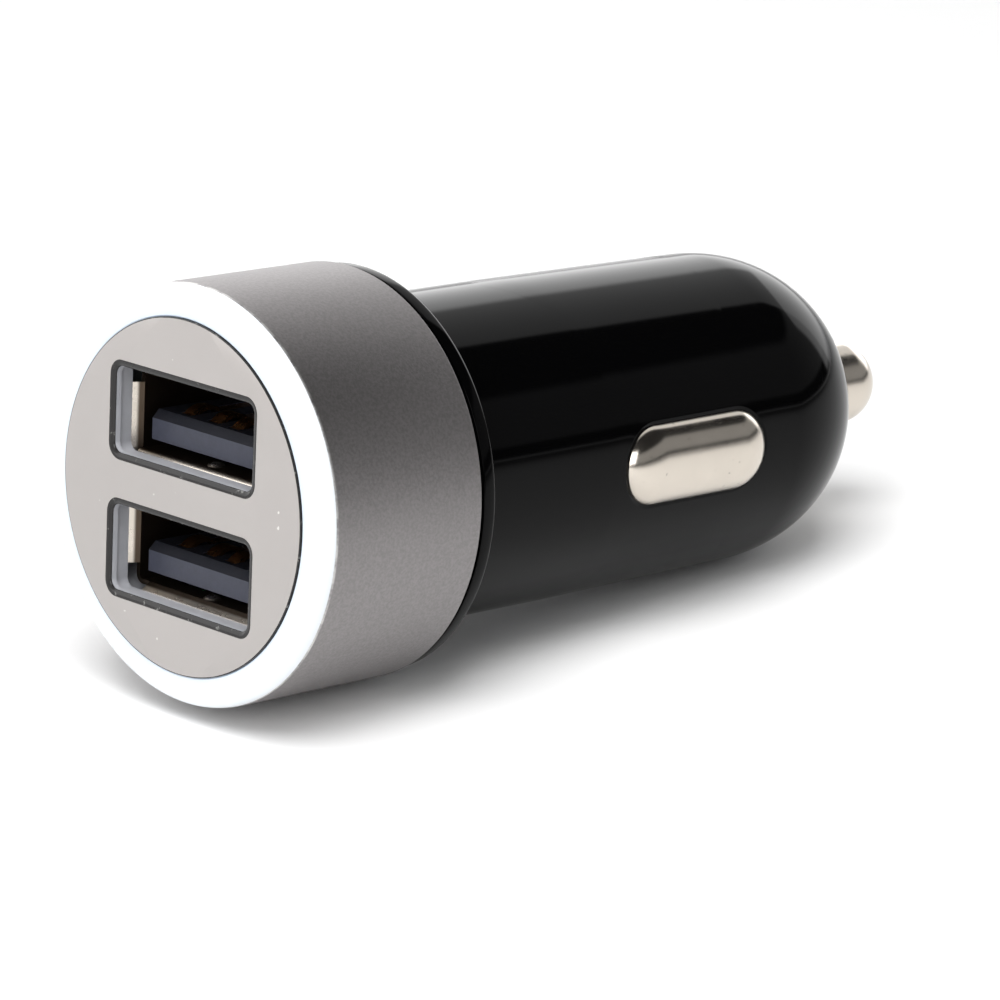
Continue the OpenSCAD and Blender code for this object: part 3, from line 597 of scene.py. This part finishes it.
def slate_insulator():
    """Satin black moulding of the tongues, with a fine grain, and painted shade darkening what
    faces up.
    """
    look = bpy.context.scene.charger_finishes
    s = new_shader("slate_insulator")
    grain = s.noise(2600.0, 4.0, 0.65)
    colour = s.mix(grain, shade(look.insulator, 0.75), shade(look.insulator, 1.3))
    up = s.value(s.node("SeparateXYZ", Vector=s.node("NewGeometry").outputs["Normal"]), 2)
    # painted shade: what faces up inside the ports is darkened
    colour = s.mix(s.smooth(up, *UP_FACING_SHADE), colour, shade(look.insulator, 0.3))
    return s.surface(Base_Color=colour, Roughness=0.3 + grain * 0.15, Specular_IOR_Level=0.3,
                     Normal=s.bump(grain, 0.2, 0.00003))


def metal(name, colour, roughness, spread=0.12, scale=900.0):
    """A bare or plated metal with slight cloudiness."""
    s = new_shader(name)
    cloud = s.noise(scale, 4.0, 0.6)
    tone = s.mix(cloud, shade(colour, 1.0 - spread), shade(colour, 1.0 + spread))
    return s.surface(Base_Color=tone, Metallic=1.0, Roughness=roughness + cloud * 0.12,
                     Normal=s.bump(cloud, 0.08, 0.00002))


def matt(name, colour, roughness):
    """A dull moulding or ceramic with a fine grain."""
    s = new_shader(name)
    grain = s.noise(1500.0, 4.0, 0.6)
    tone = s.mix(grain, shade(colour, 0.85), shade(colour, 1.15))
    return s.surface(Base_Color=tone, Roughness=roughness + grain * 0.15,
                     Normal=s.bump(grain, 0.2, 0.00003))


def board_mask():
    """Green solder mask over a weave of glass, with paler copper tracks under it."""
    look = bpy.context.scene.charger_finishes
    s = new_shader("board_mask")
    weave = s.value(s.node("TexWave", {"wave_type": "BANDS", "bands_direction": "DIAGONAL"},
                           Vector=s.coords(), Scale=900.0, Distortion=1.0), 1)
    tracks = s.smooth(s.value(s.node("TexVoronoi", {"feature": "DISTANCE_TO_EDGE"},
                                     Vector=s.coords(), Scale=260.0)), 0.06, 0.09)
    colour = s.mix(tracks, shade(look.board, 1.9), rgba(look.board))
    return s.surface(Base_Color=colour, Roughness=0.3 + weave * 0.08,
                     Normal=s.bump(weave + tracks, 0.1, 0.00002))


# Pieces

# Material slots of the face plate
SATIN, POLISHED, MOULDED = 0, 1, 2


def face_loops(bm, outline, steps):
    """Closed loops of edges, one for each (growth, along) step of an outline."""
    return [chain(bm, [(x, y, z) for x, y in outline(grow)], True)[1] for grow, z in steps]


def build_face_plate():
    """Satin plate with polished bevels round its rim and its two windows."""
    size = bpy.context.scene.charger_head
    front, back = PLATE.front, PLATE.back
    bm = bmesh.new()
    edge, bevel, sink = size.plate_edge, size.window_bevel, size.window_sink
    shoulder = (-0.3 * edge, front + 0.25 * edge)
    rim_steps = [(-edge, front), shoulder, (0.0, front + edge), (0.0, back)]
    window_steps = [(bevel * (1 - math.sin(a)), front + sink * (1 - math.cos(a)))
                    for a in quarter(10)] + [(0.0, back)]
    circle = lambda grow: rounded((0.0, 0.0), PLATE.outer + grow, 0, 360, 180)[:-1]
    rims = [face_loops(bm, circle, rim_steps)]
    for side in (-1, 1):
        middle = side * size.window_pitch / 2
        outline = lambda grow: rounded_rect(size.window_h + 2 * grow, size.window_w + 2 * grow,
                                            size.window_r + grow, middle)
        rims.append(face_loops(bm, outline, window_steps))
    for loops in rims:
        bridge(bm, loops)
    band_end = front + sink - 0.01 * MM
    for face in bm.faces:
        in_band = min(v.co.z for v in face.verts) < band_end
        face.material_index = POLISHED if in_band else MOULDED
    for place in (0, -1):
        edges = sum((loops[place] for loops in rims), [])
        made = bmesh.ops.triangle_fill(bm, use_beauty=True, edges=edges)
        for item in made["geom"]:
            if isinstance(item, bmesh.types.BMFace):
                item.material_index = SATIN
    even_shading(finish_piece(bm, "face_plate_cover", "charger",
                              [satin_plate(), polished_bevel(), moulded_grey()], ["face_plate"]))


def build_light_ring():
    """Milky ring with a rounded outer edge and a skirt inside the sleeve."""
    size = bpy.context.scene.charger_head
    bulge, soft = size.ring_bulge, 0.12 * MM
    rim = SLEEVE.outer - 0.03 * MM
    skirt = SLEEVE.inner - SLEEVE_GAP
    section = rounded((RING.inner + soft, -bulge + soft), soft, 180, 270, 4)
    section += rounded((rim - bulge, 0.0), bulge, -90, 0, 24)
    section += [(skirt, 0.0), (skirt, RING.back), (RING.inner, RING.back)]
    bm = bmesh.new()
    lathe(bm, section, 192, True)
    finish_piece(bm, "light_ring_lens", "charger", [lit_diffuser()],
                 ["light_ring"])


def build_head_sleeve():
    """Turned sleeve with softly rounded edges."""
    size = bpy.context.scene.charger_head
    soft = size.sleeve_edge
    section = [(SLEEVE.inner, 0.0)]
    section += rounded((SLEEVE.outer - soft, soft), soft, -90, 0, 6)
    section += rounded((SLEEVE.outer - soft, SLEEVE.back - soft), soft, 0, 90, 6)
    section += [(SLEEVE.inner, SLEEVE.back)]
    bm = bmesh.new()
    lathe(bm, section, 192, True)
    finish_piece(bm, "head_sleeve_skin", "charger", [blasted_gunmetal()],
                 ["head_sleeve"])


def barrel_radius(along, inner=False):
    """Radius of the barrel's side at a distance along the plug, outside or inside."""
    size = bpy.context.scene.charger_barrel
    if inner:
        return size.tail_r - size.wall
    tail = FLANGE_BACK + size.barrel_l
    start = FLANGE_BACK + size.straight_l
    sunk = min(max((along - start) / (tail - start), 0.0), 1.0)
    return BARREL_R + (size.tail_r - BARREL_R) * sunk


def side_patch(bm, side, middle, ends, steps, inner):
    """Half of the barrel's wall between two places, with the slot for one side contact."""
    barrel = bpy.context.scene.charger_barrel
    contact = bpy.context.scene.charger_contacts
    around, lengthwise = steps // 2, 28
    width = contact.side_w + 2 * barrel.window_gap
    whole = contact.side_l + 2 * barrel.window_gap

    def on_wall(x, z, sunk=0.0):
        return (x, side * (math.sqrt(barrel_radius(z, inner) ** 2 - x * x) - sunk), z)

    first, last = ends
    turns = [math.pi * (i / around - 0.5) for i in range(around + 1)]
    border = [(math.sin(a), math.cos(a), first) for a in turns]
    border += [(1.0, 0.0, first + (last - first) * i / lengthwise) for i in range(1, lengthwise)]
    border += [(math.sin(-a), math.cos(a), last) for a in turns]
    border += [(-1.0, 0.0, last - (last - first) * i / lengthwise) for i in range(1, lengthwise)]
    rim = chain(bm, [(x * barrel_radius(z, inner), side * y * barrel_radius(z, inner), z)
                     for x, y, z in border], True)[1]
    soft = barrel.window_round
    if inner:
        steps_in = [(0.0, 0.0)]
    else:
        steps_in = [(1.6 * soft, 0.0)]
        steps_in += [(soft * (1 - math.sin(a)), soft * (1 - math.cos(a))) for a in quarter(4)]
    slots = []
    for grow, sunk in steps_in:
        outline = stadium(width + 2 * grow, whole + 2 * grow, middle, around, lengthwise)
        slots.append(chain(bm, [on_wall(x, z, sunk) for x, z in outline], True)[1])
    skin = bmesh.ops.bridge_loops(bm, edges=rim + slots[0])
    spokes = list({e for f in skin["faces"] for e in f.edges} - set(rim) - set(slots[0]))
    parts = bmesh.ops.subdivide_edges(bm, edges=spokes, cuts=18, use_grid_fill=True)
    for vert in (item for item in parts["geom_inner"] if isinstance(item, bmesh.types.BMVert)):
        reach = barrel_radius(vert.co.z, inner) / math.hypot(vert.co.x, vert.co.y)
        vert.co.x *= reach
        vert.co.y *= reach
    bridge(bm, slots)
    return slots[-1]


def build_barrel():
    """Glossy barrel with its flange, spigot, dome, guide bore and two slots."""
    size = bpy.context.scene.charger_barrel
    steps = 128
    soft, foot = 0.1 * MM, 0.15 * MM
    tail = FLANGE_BACK + size.barrel_l
    inside = size.tail_r - size.wall
    before_taper, before_tail = 3.0 * MM, 1.6 * MM
    ends = (FLANGE_BACK + size.straight_l - before_taper, tail - before_tail)
    flange_r, flange_front = BARREL.outer, FLANGE_BACK - size.flange_t
    spigot_r, spigot_front = SLEEVE.inner - SLEEVE_GAP, flange_front - size.spigot_l
    spigot_bore, shelf = spigot_r - size.wall, flange_front + 0.2 * MM
    bevel = size.flange_bevel
    head = [(BARREL_R, ends[0]), (BARREL_R, FLANGE_BACK + foot), (BARREL_R + foot, FLANGE_BACK)]
    head += rounded((flange_r - bevel, FLANGE_BACK - bevel), bevel, 90, 0, 6)
    groove_back, groove_r = flange_front + size.groove_l, flange_r - size.groove_depth
    head += rounded((flange_r - soft, groove_back + soft), soft, 0, -90, 3)
    head += [(groove_r, groove_back), (groove_r, flange_front), (spigot_r, flange_front),
             (spigot_r, spigot_front), (spigot_bore, spigot_front), (spigot_bore, shelf),
             (inside, shelf), (inside, ends[0])]

    def dome(r, rise, stop, steps_up):
        """Half section of the dome, from its widest circle to the radius where it stops."""
        points = super_arc(r, tail, rise, size.dome_full, steps_up)
        z = tail + rise * (1 - (stop / r) ** size.dome_full) ** (1 / size.dome_full)
        last_r = stop + 0.05 * MM
        return [p for p in points if p[0] > last_r] + [(stop, z)]

    outer = dome(size.tail_r, size.dome_l, size.guide_r + soft, 56)
    mouth = outer[-1][1]
    guide_front = mouth - size.guide_l
    counter_r = size.boss_r - size.boss_wall
    boss_front = guide_front - (size.boss_l - size.guide_l)
    inner = dome(inside, size.dome_l - size.wall, size.boss_r, 40)
    rear = [(barrel_radius(ends[1]), ends[1])] + outer
    rear += [(size.guide_r, mouth - soft), (size.guide_r, guide_front), (counter_r, guide_front),
             (counter_r, boss_front), (size.boss_r, boss_front)]
    rear += inner[::-1] + [(inside, ends[1])]

    bm = bmesh.new()
    lathe(bm, head, steps)
    lathe(bm, rear, steps)
    middle = (CONTACT.low.z + CONTACT.high.z) / 2
    for side in (-1, 1):
        bridge(bm, [side_patch(bm, side, middle, ends, steps, inner) for inner in (False, True)])
    even_shading(finish_piece(bm, "barrel_housing_skin", "charger", [gloss_black()],
                              ["barrel_housing"]))


def build_side_contact(side, name, node, body):
    """Crowned nickel cap with a rim inside the barrel."""
    size = bpy.context.scene.charger_contacts
    middle = (CONTACT.low.z + CONTACT.high.z) / 2
    top = abs(max((CONTACT.low.y, CONTACT.high.y), key=abs))
    half = size.side_w / 2
    rim_low = min(abs(CONTACT.low.y), abs(CONTACT.high.y))
    crown_base = top - size.side_crown
    crown = [(r - half, z) for r, z in super_arc(half, crown_base, size.side_crown,
                                                 size.crown_full, 14)]
    ridge = -half + 0.02 * MM
    steps = [(ridge, top)] + [(grow, z) for grow, z in reversed(crown) if grow > ridge]
    sheet, rim_high = size.side_sheet, rim_low + size.side_sheet
    hollow = [(-sheet, crown_base - 0.2 * MM), (-sheet - 0.6 * MM, top - sheet - 0.15 * MM)]
    steps += [(0.0, rim_high), (size.side_rim, rim_high), (size.side_rim, rim_low),
              (-sheet, rim_low)] + hollow
    bm = bmesh.new()
    loops = []
    for grow, height in steps:
        outline = stadium(size.side_w + 2 * grow, size.side_l + 2 * grow, middle, 32, 14)
        loops.append(chain(bm, [(x, side * height, z) for x, z in outline], True)[1])
    bridge(bm, loops)
    for loop in (loops[0], loops[-1]):
        bmesh.ops.triangle_fill(bm, use_beauty=True, edges=loop)
    finish_piece(bm, name, body, [plated_nickel()], [node])


def build_centre_contact():
    """Turned nickel plunger with a rounded nose, a collar and a stub."""
    size = bpy.context.scene.charger_contacts
    nose = TIP.back - size.nose_l
    stub_end, collar_r = TIP.front + size.stub_l, TIP_R + size.collar_w
    stem_front, stem_r = stub_end + size.collar_t, TIP_R + size.stem_step
    stem_end = stem_front + size.stem_l
    section = [(0.0, TIP.front), (size.stub_r, TIP.front), (size.stub_r, stub_end),
               (collar_r, stub_end), (collar_r, stem_front), (stem_r, stem_front),
               (stem_r, stem_end - size.stem_step), (TIP_R, stem_end)]
    section += super_arc(TIP_R, nose, size.nose_l, ELLIPSE, 24)
    bm = bmesh.new()
    lathe(bm, section, 96)
    finish_piece(bm, "centre_contact_skin", "centre_contact",
                 [plated_nickel("plated_tip", 0.16)], ["centre_contact"])


def dress_socket():
    """Finishes of the window walls, the ports' shell, its tongues and its contacts."""
    look = bpy.context.scene.charger_finishes
    dress(moulded_grey(), "port_frame")
    dress(socket_nickel(), "socket_shell", "socket_divider")
    dress(slate_insulator(), "socket_block")
    dress(metal("contact_copper", look.copper, 0.22),
          "socket_contacts_upper", "socket_contacts_lower")


def dress_light_unit():
    """Finishes of the light board, its chips and its pins."""
    dress(board_mask(), "light_board")
    dress(matt("light_chip_cream", (0.85, 0.80, 0.45), 0.35), "light_chips")
    dress(metal("pin_gold", (0.83, 0.62, 0.24), 0.2), "light_pins")


def dress_power_unit():
    """Finishes of the boards in the barrel and of what stands on them."""
    dress(board_mask(), "socket_board", "power_board")
    dress(matt("chip_epoxy", (0.02, 0.02, 0.022), 0.45), "converter_chips")
    dress(matt("chip_ceramic", (0.30, 0.21, 0.13), 0.4), "chip_parts")
    dress(matt("drum_ferrite", (0.06, 0.06, 0.065), 0.6), "inductor_core")
    dress(metal("winding_copper", (0.62, 0.27, 0.12), 0.25, 0.2, 2500.0), "inductor_coil")
    dress(metal("can_aluminium", (0.72, 0.73, 0.75), 0.28), "input_capacitor", "output_capacitor")


def flexing_copy(node, name, material):
    """A spring's own shape as a new piece."""
    dress(material, node)
    bm = bmesh.new()
    bm.from_mesh(NODES[node].data)
    bmesh.ops.transform(bm, matrix=TO_PLUG, verts=bm.verts[:])
    return finish_piece(bm, name, "charger", [material], [node])


def build_springs():
    """Copies of the leaf and coil springs behind the contacts, and the finish of the brass seat."""
    bronze = metal("leaf_bronze", (0.70, 0.50, 0.28), 0.25)
    for side in ("left", "right"):
        node, joint = "side_leaf_" + side, "side_contact_" + side + "_press"
        low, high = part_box(node)
        base, crown = sorted((low.y, high.y), key=abs)
        leaf = flexing_copy(node, node + "_spring", bronze)
        1 - TRAVEL[joint] / abs(crown - base)
        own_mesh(leaf)
    wire = Measure("tip_spring")
    coil = flexing_copy("tip_spring", "tip_spring_coil",
                        metal("spring_wire", (0.62, 0.62, 0.64), 0.22))
    1 - TRAVEL["centre_contact_press"] / (wire.back - wire.front)
    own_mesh(coil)
    dress(metal("seat_brass", (0.76, 0.60, 0.28), 0.25), "spring_terminal")


# Studio

# Each lamp's place, its width and depth, and whether gloss mirrors it
LAMPS = {
    "softbox": ((0.02, 0.16, 0.5), (0.55, 0.5), False),
    "overhead": ((-0.2, -0.15, 0.5), (0.36, 0.36), False),
    "front_light": ((-0.5, -0.27, 0.26), (0.34, 0.34), True),
    "side_light": ((-0.6, -0.12, 0.2), (0.26, 0.26), True),
}
# Where the floor's painted shade begins before the plug and its glow behind it, and where they end
FLOOR_SHADE_BEFORE = (-0.07, -0.32)
FLOOR_GLOW = (0.06, 0.3)
# Edges of the bands of the surroundings, as directions from -1 to 1: height, depth or along
HORIZON = (0.0, 0.02)
BEFORE_PLUG = (0.04, 0.0)
PANEL_LOW = (0.09, 0.13)
PANEL_HIGH = (0.52, 0.46)
ROOF_LOW = (0.25, 0.35)
ROOF_REAR = (0.53, 0.46)
BACK_LOW = (0.0, 0.06)
TAIL_SIDE = (0.82, 0.92)
TAIL_SHIFT = 0.6
FILL_SLOPE = 0.45


def pale_floor():
    """Pale matt floor that stays white far behind the plug, with painted shade darkening it before
    the plug.
    """
    look = bpy.context.scene.charger_finishes
    s = new_shader("pale_floor")
    depth = s.value(s.node("SeparateXYZ", Vector=s.coords()), 1)
    # painted shade: darkens the floor before the plug, so gloss mirrors a dark front
    colour = s.mix(s.smooth(depth, *FLOOR_SHADE_BEFORE), rgba(look.floor), shade(look.floor, 0.3))
    glow = s.mix(s.smooth(depth, *FLOOR_GLOW), (0.0, 0.0, 0.0, 1.0), (0.2, 0.2, 0.2, 1.0))
    return s.surface(Base_Color=colour, Roughness=0.65, Specular_IOR_Level=0.2, Emission_Color=glow,
                     Emission_Strength=1.0)


def build_world():
    """Pale surroundings with a dark, unlit side above and in front of the plug."""
    studio = bpy.context.scene.charger_studio
    world = bpy.data.worlds.new("studio")
    bpy.context.scene.world = world
    s = Shader(world)
    towards = s.node("TexCoord").outputs["Generated"]
    parts = s.node("SeparateXYZ", Vector=towards)
    height, depth = s.value(parts, 2), s.value(parts, 1)
    lit_depth = depth + s.smooth(s.value(parts, 0), *TAIL_SIDE) * TAIL_SHIFT
    dark = s.smooth(height, *HORIZON) * s.smooth(depth, *BEFORE_PLUG)
    panel = s.smooth(height, *PANEL_LOW) * s.smooth(height, *PANEL_HIGH)
    unlit = studio.dark_side + panel * studio.panel
    dim = s.smooth(height, *ROOF_LOW) * s.smooth(lit_depth, *ROOF_REAR) * (1.0 - dark)
    back = s.smooth(height, *BACK_LOW) * s.smooth(lit_depth, *reversed(ROOF_REAR))
    path = s.node("LightPath")
    seen = s.value(path, "Is Camera Ray")
    mirrored = s.value(path, "Is Glossy Ray")
    through = s.value(path, "Is Transmission Ray")
    reflected = mirrored * (1.0 - dark * (1.0 - unlit) - dim * (1.0 - studio.dim_roof)
                            + back * (studio.bright_back - 1.0))
    plain = 1.0 - seen - mirrored - through
    strength = seen + through + reflected + plain * (1.0 - depth * FILL_SLOPE) * studio.fill
    made = s.node("Background", Color=(1.0, 1.0, 1.0, 1.0), Strength=strength)
    s.node("OutputWorld", Surface=made.outputs[0])


def area_lamp(name, place, sides, level, glossy):
    """A lamp that faces the plug, and whose radiance is a share of white."""
    data = bpy.data.lights.new(name, "AREA")
    data.shape = "RECTANGLE"
    data.size, data.size_y = sides
    data.energy = level * math.pi * sides[0] * sides[1]
    lamp = bpy.data.objects.new(name, data)
    bpy.context.scene.collection.objects.link(lamp)
    lamp.location = place
    lamp.rotation_euler = (-Vector(place)).to_track_quat("-Z", "Y").to_euler()
    lamp.visible_glossy = glossy
    lamp.visible_camera = False


def build_studio():
    """Floor, surroundings, lamps and camera."""
    studio = bpy.context.scene.charger_studio
    bm = bmesh.new()
    bmesh.ops.create_circle(bm, cap_ends=True, segments=96, radius=studio.floor_r)
    mesh = bpy.data.meshes.new("floor")
    bm.to_mesh(mesh)
    bm.free()
    mesh.materials.append(pale_floor())
    floor = bpy.data.objects.new("floor", mesh)
    bpy.context.scene.collection.objects.link(floor)
    build_world()
    for name, (lamp_place, sides, glossy) in LAMPS.items():
        area_lamp(name, lamp_place, sides, getattr(studio, name), glossy)

    data = bpy.data.cameras.new("camera")
    data.lens = studio.lens
    data.clip_start, data.clip_end = 0.01, 20.0
    camera = bpy.data.objects.new("camera", data)
    bpy.context.scene.collection.objects.link(camera)
    place, aim = Vector(studio.camera_place), Vector(studio.camera_aim)
    camera.location = place
    camera.rotation_mode = "QUATERNION"
    roll = Quaternion((0.0, 0.0, 1.0), studio.camera_roll)
    camera.rotation_quaternion = (aim - place).to_track_quat("-Z", "Y") @ roll
    bpy.context.scene.camera = camera
    bpy.context.scene.view_settings.view_transform = "Standard"


# Operators

class CHARGER_OT_studio(bpy.types.Operator):
    """Set up the floor, the surroundings, the lamps and the camera"""

    bl_idname = "charger.studio"
    bl_label = "Studio"

    def execute(self, context):
        build_studio()
        return {"FINISHED"}


class CHARGER_OT_face_plate(bpy.types.Operator):
    """Build the face plate with its two bevelled windows"""

    bl_idname = "charger.face_plate"
    bl_label = "Face plate"

    def execute(self, context):
        build_face_plate()
        return {"FINISHED"}


class CHARGER_OT_light_ring(bpy.types.Operator):
    """Build the lit ring round the face plate"""

    bl_idname = "charger.light_ring"
    bl_label = "Light ring"

    def execute(self, context):
        build_light_ring()
        return {"FINISHED"}


class CHARGER_OT_head_sleeve(bpy.types.Operator):
    """Build the metal sleeve round the head"""

    bl_idname = "charger.head_sleeve"
    bl_label = "Head sleeve"

    def execute(self, context):
        build_head_sleeve()
        return {"FINISHED"}


class CHARGER_OT_barrel(bpy.types.Operator):
    """Build the black barrel with its flange and dome"""

    bl_idname = "charger.barrel"
    bl_label = "Barrel"

    def execute(self, context):
        build_barrel()
        return {"FINISHED"}


class CHARGER_OT_side_contacts(bpy.types.Operator):
    """Build the two sprung side contacts"""

    bl_idname = "charger.side_contacts"
    bl_label = "Side contacts"

    def execute(self, context):
        build_side_contact(1, "side_contact_right_cap", "side_contact_right", "side_contact_right")
        build_side_contact(-1, "side_contact_left_cap", "side_contact_left", "side_contact_left")
        return {"FINISHED"}


class CHARGER_OT_centre_contact(bpy.types.Operator):
    """Build the sprung contact at the tip"""

    bl_idname = "charger.centre_contact"
    bl_label = "Centre contact"

    def execute(self, context):
        build_centre_contact()
        return {"FINISHED"}


class CHARGER_OT_inner_parts(bpy.types.Operator):
    """Give the sockets, the boards and what stands on them their finishes"""

    bl_idname = "charger.inner_parts"
    bl_label = "Inner parts"

    def execute(self, context):
        dress_socket()
        dress_light_unit()
        dress_power_unit()
        return {"FINISHED"}


class CHARGER_OT_springs(bpy.types.Operator):
    """Make the leaf springs and the coil spring behind the contacts"""

    bl_idname = "charger.springs"
    bl_label = "Springs"

    def execute(self, context):
        build_springs()
        return {"FINISHED"}


OPERATORS = (CHARGER_OT_studio, CHARGER_OT_face_plate, CHARGER_OT_light_ring,
             CHARGER_OT_head_sleeve, CHARGER_OT_barrel, CHARGER_OT_side_contacts,
             CHARGER_OT_centre_contact, CHARGER_OT_inner_parts, CHARGER_OT_springs)
GROUPS = {"charger_head": HeadSizes, "charger_barrel": BarrelSizes,
          "charger_contacts": ContactSizes, "charger_finishes": Finishes,
          "charger_studio": StudioSettings}


class CHARGER_PT_panel(bpy.types.Panel):
    """Lists the charger's pieces"""

    bl_idname = "CHARGER_PT_panel"
    bl_label = "Car charger plug"
    bl_space_type = "VIEW_3D"
    bl_region_type = "UI"
    bl_category = "Charger"

    def draw(self, context):
        for operator in OPERATORS:
            self.layout.operator(operator.bl_idname)
        for group in GROUPS:
            box = self.layout.box()
            settings = getattr(context.scene, group)
            for name in GROUPS[group].__annotations__:
                box.prop(settings, name)


def register():
    for kind in (*GROUPS.values(), *OPERATORS, CHARGER_PT_panel):
        bpy.utils.register_class(kind)
    for name, kind in GROUPS.items():
        setattr(bpy.types.Scene, name, PointerProperty(type=kind))


def unregister():
    for name in GROUPS:
        delattr(bpy.types.Scene, name)
    for kind in (CHARGER_PT_panel, *reversed(OPERATORS), *reversed(tuple(GROUPS.values()))):
        bpy.utils.unregister_class(kind)


def main():
    """Build everything in order."""
    register()
    for operator in OPERATORS:
        group, name = operator.bl_idname.split(".")
        getattr(getattr(bpy.ops, group), name)()


if __name__ == "__main__":
    main()
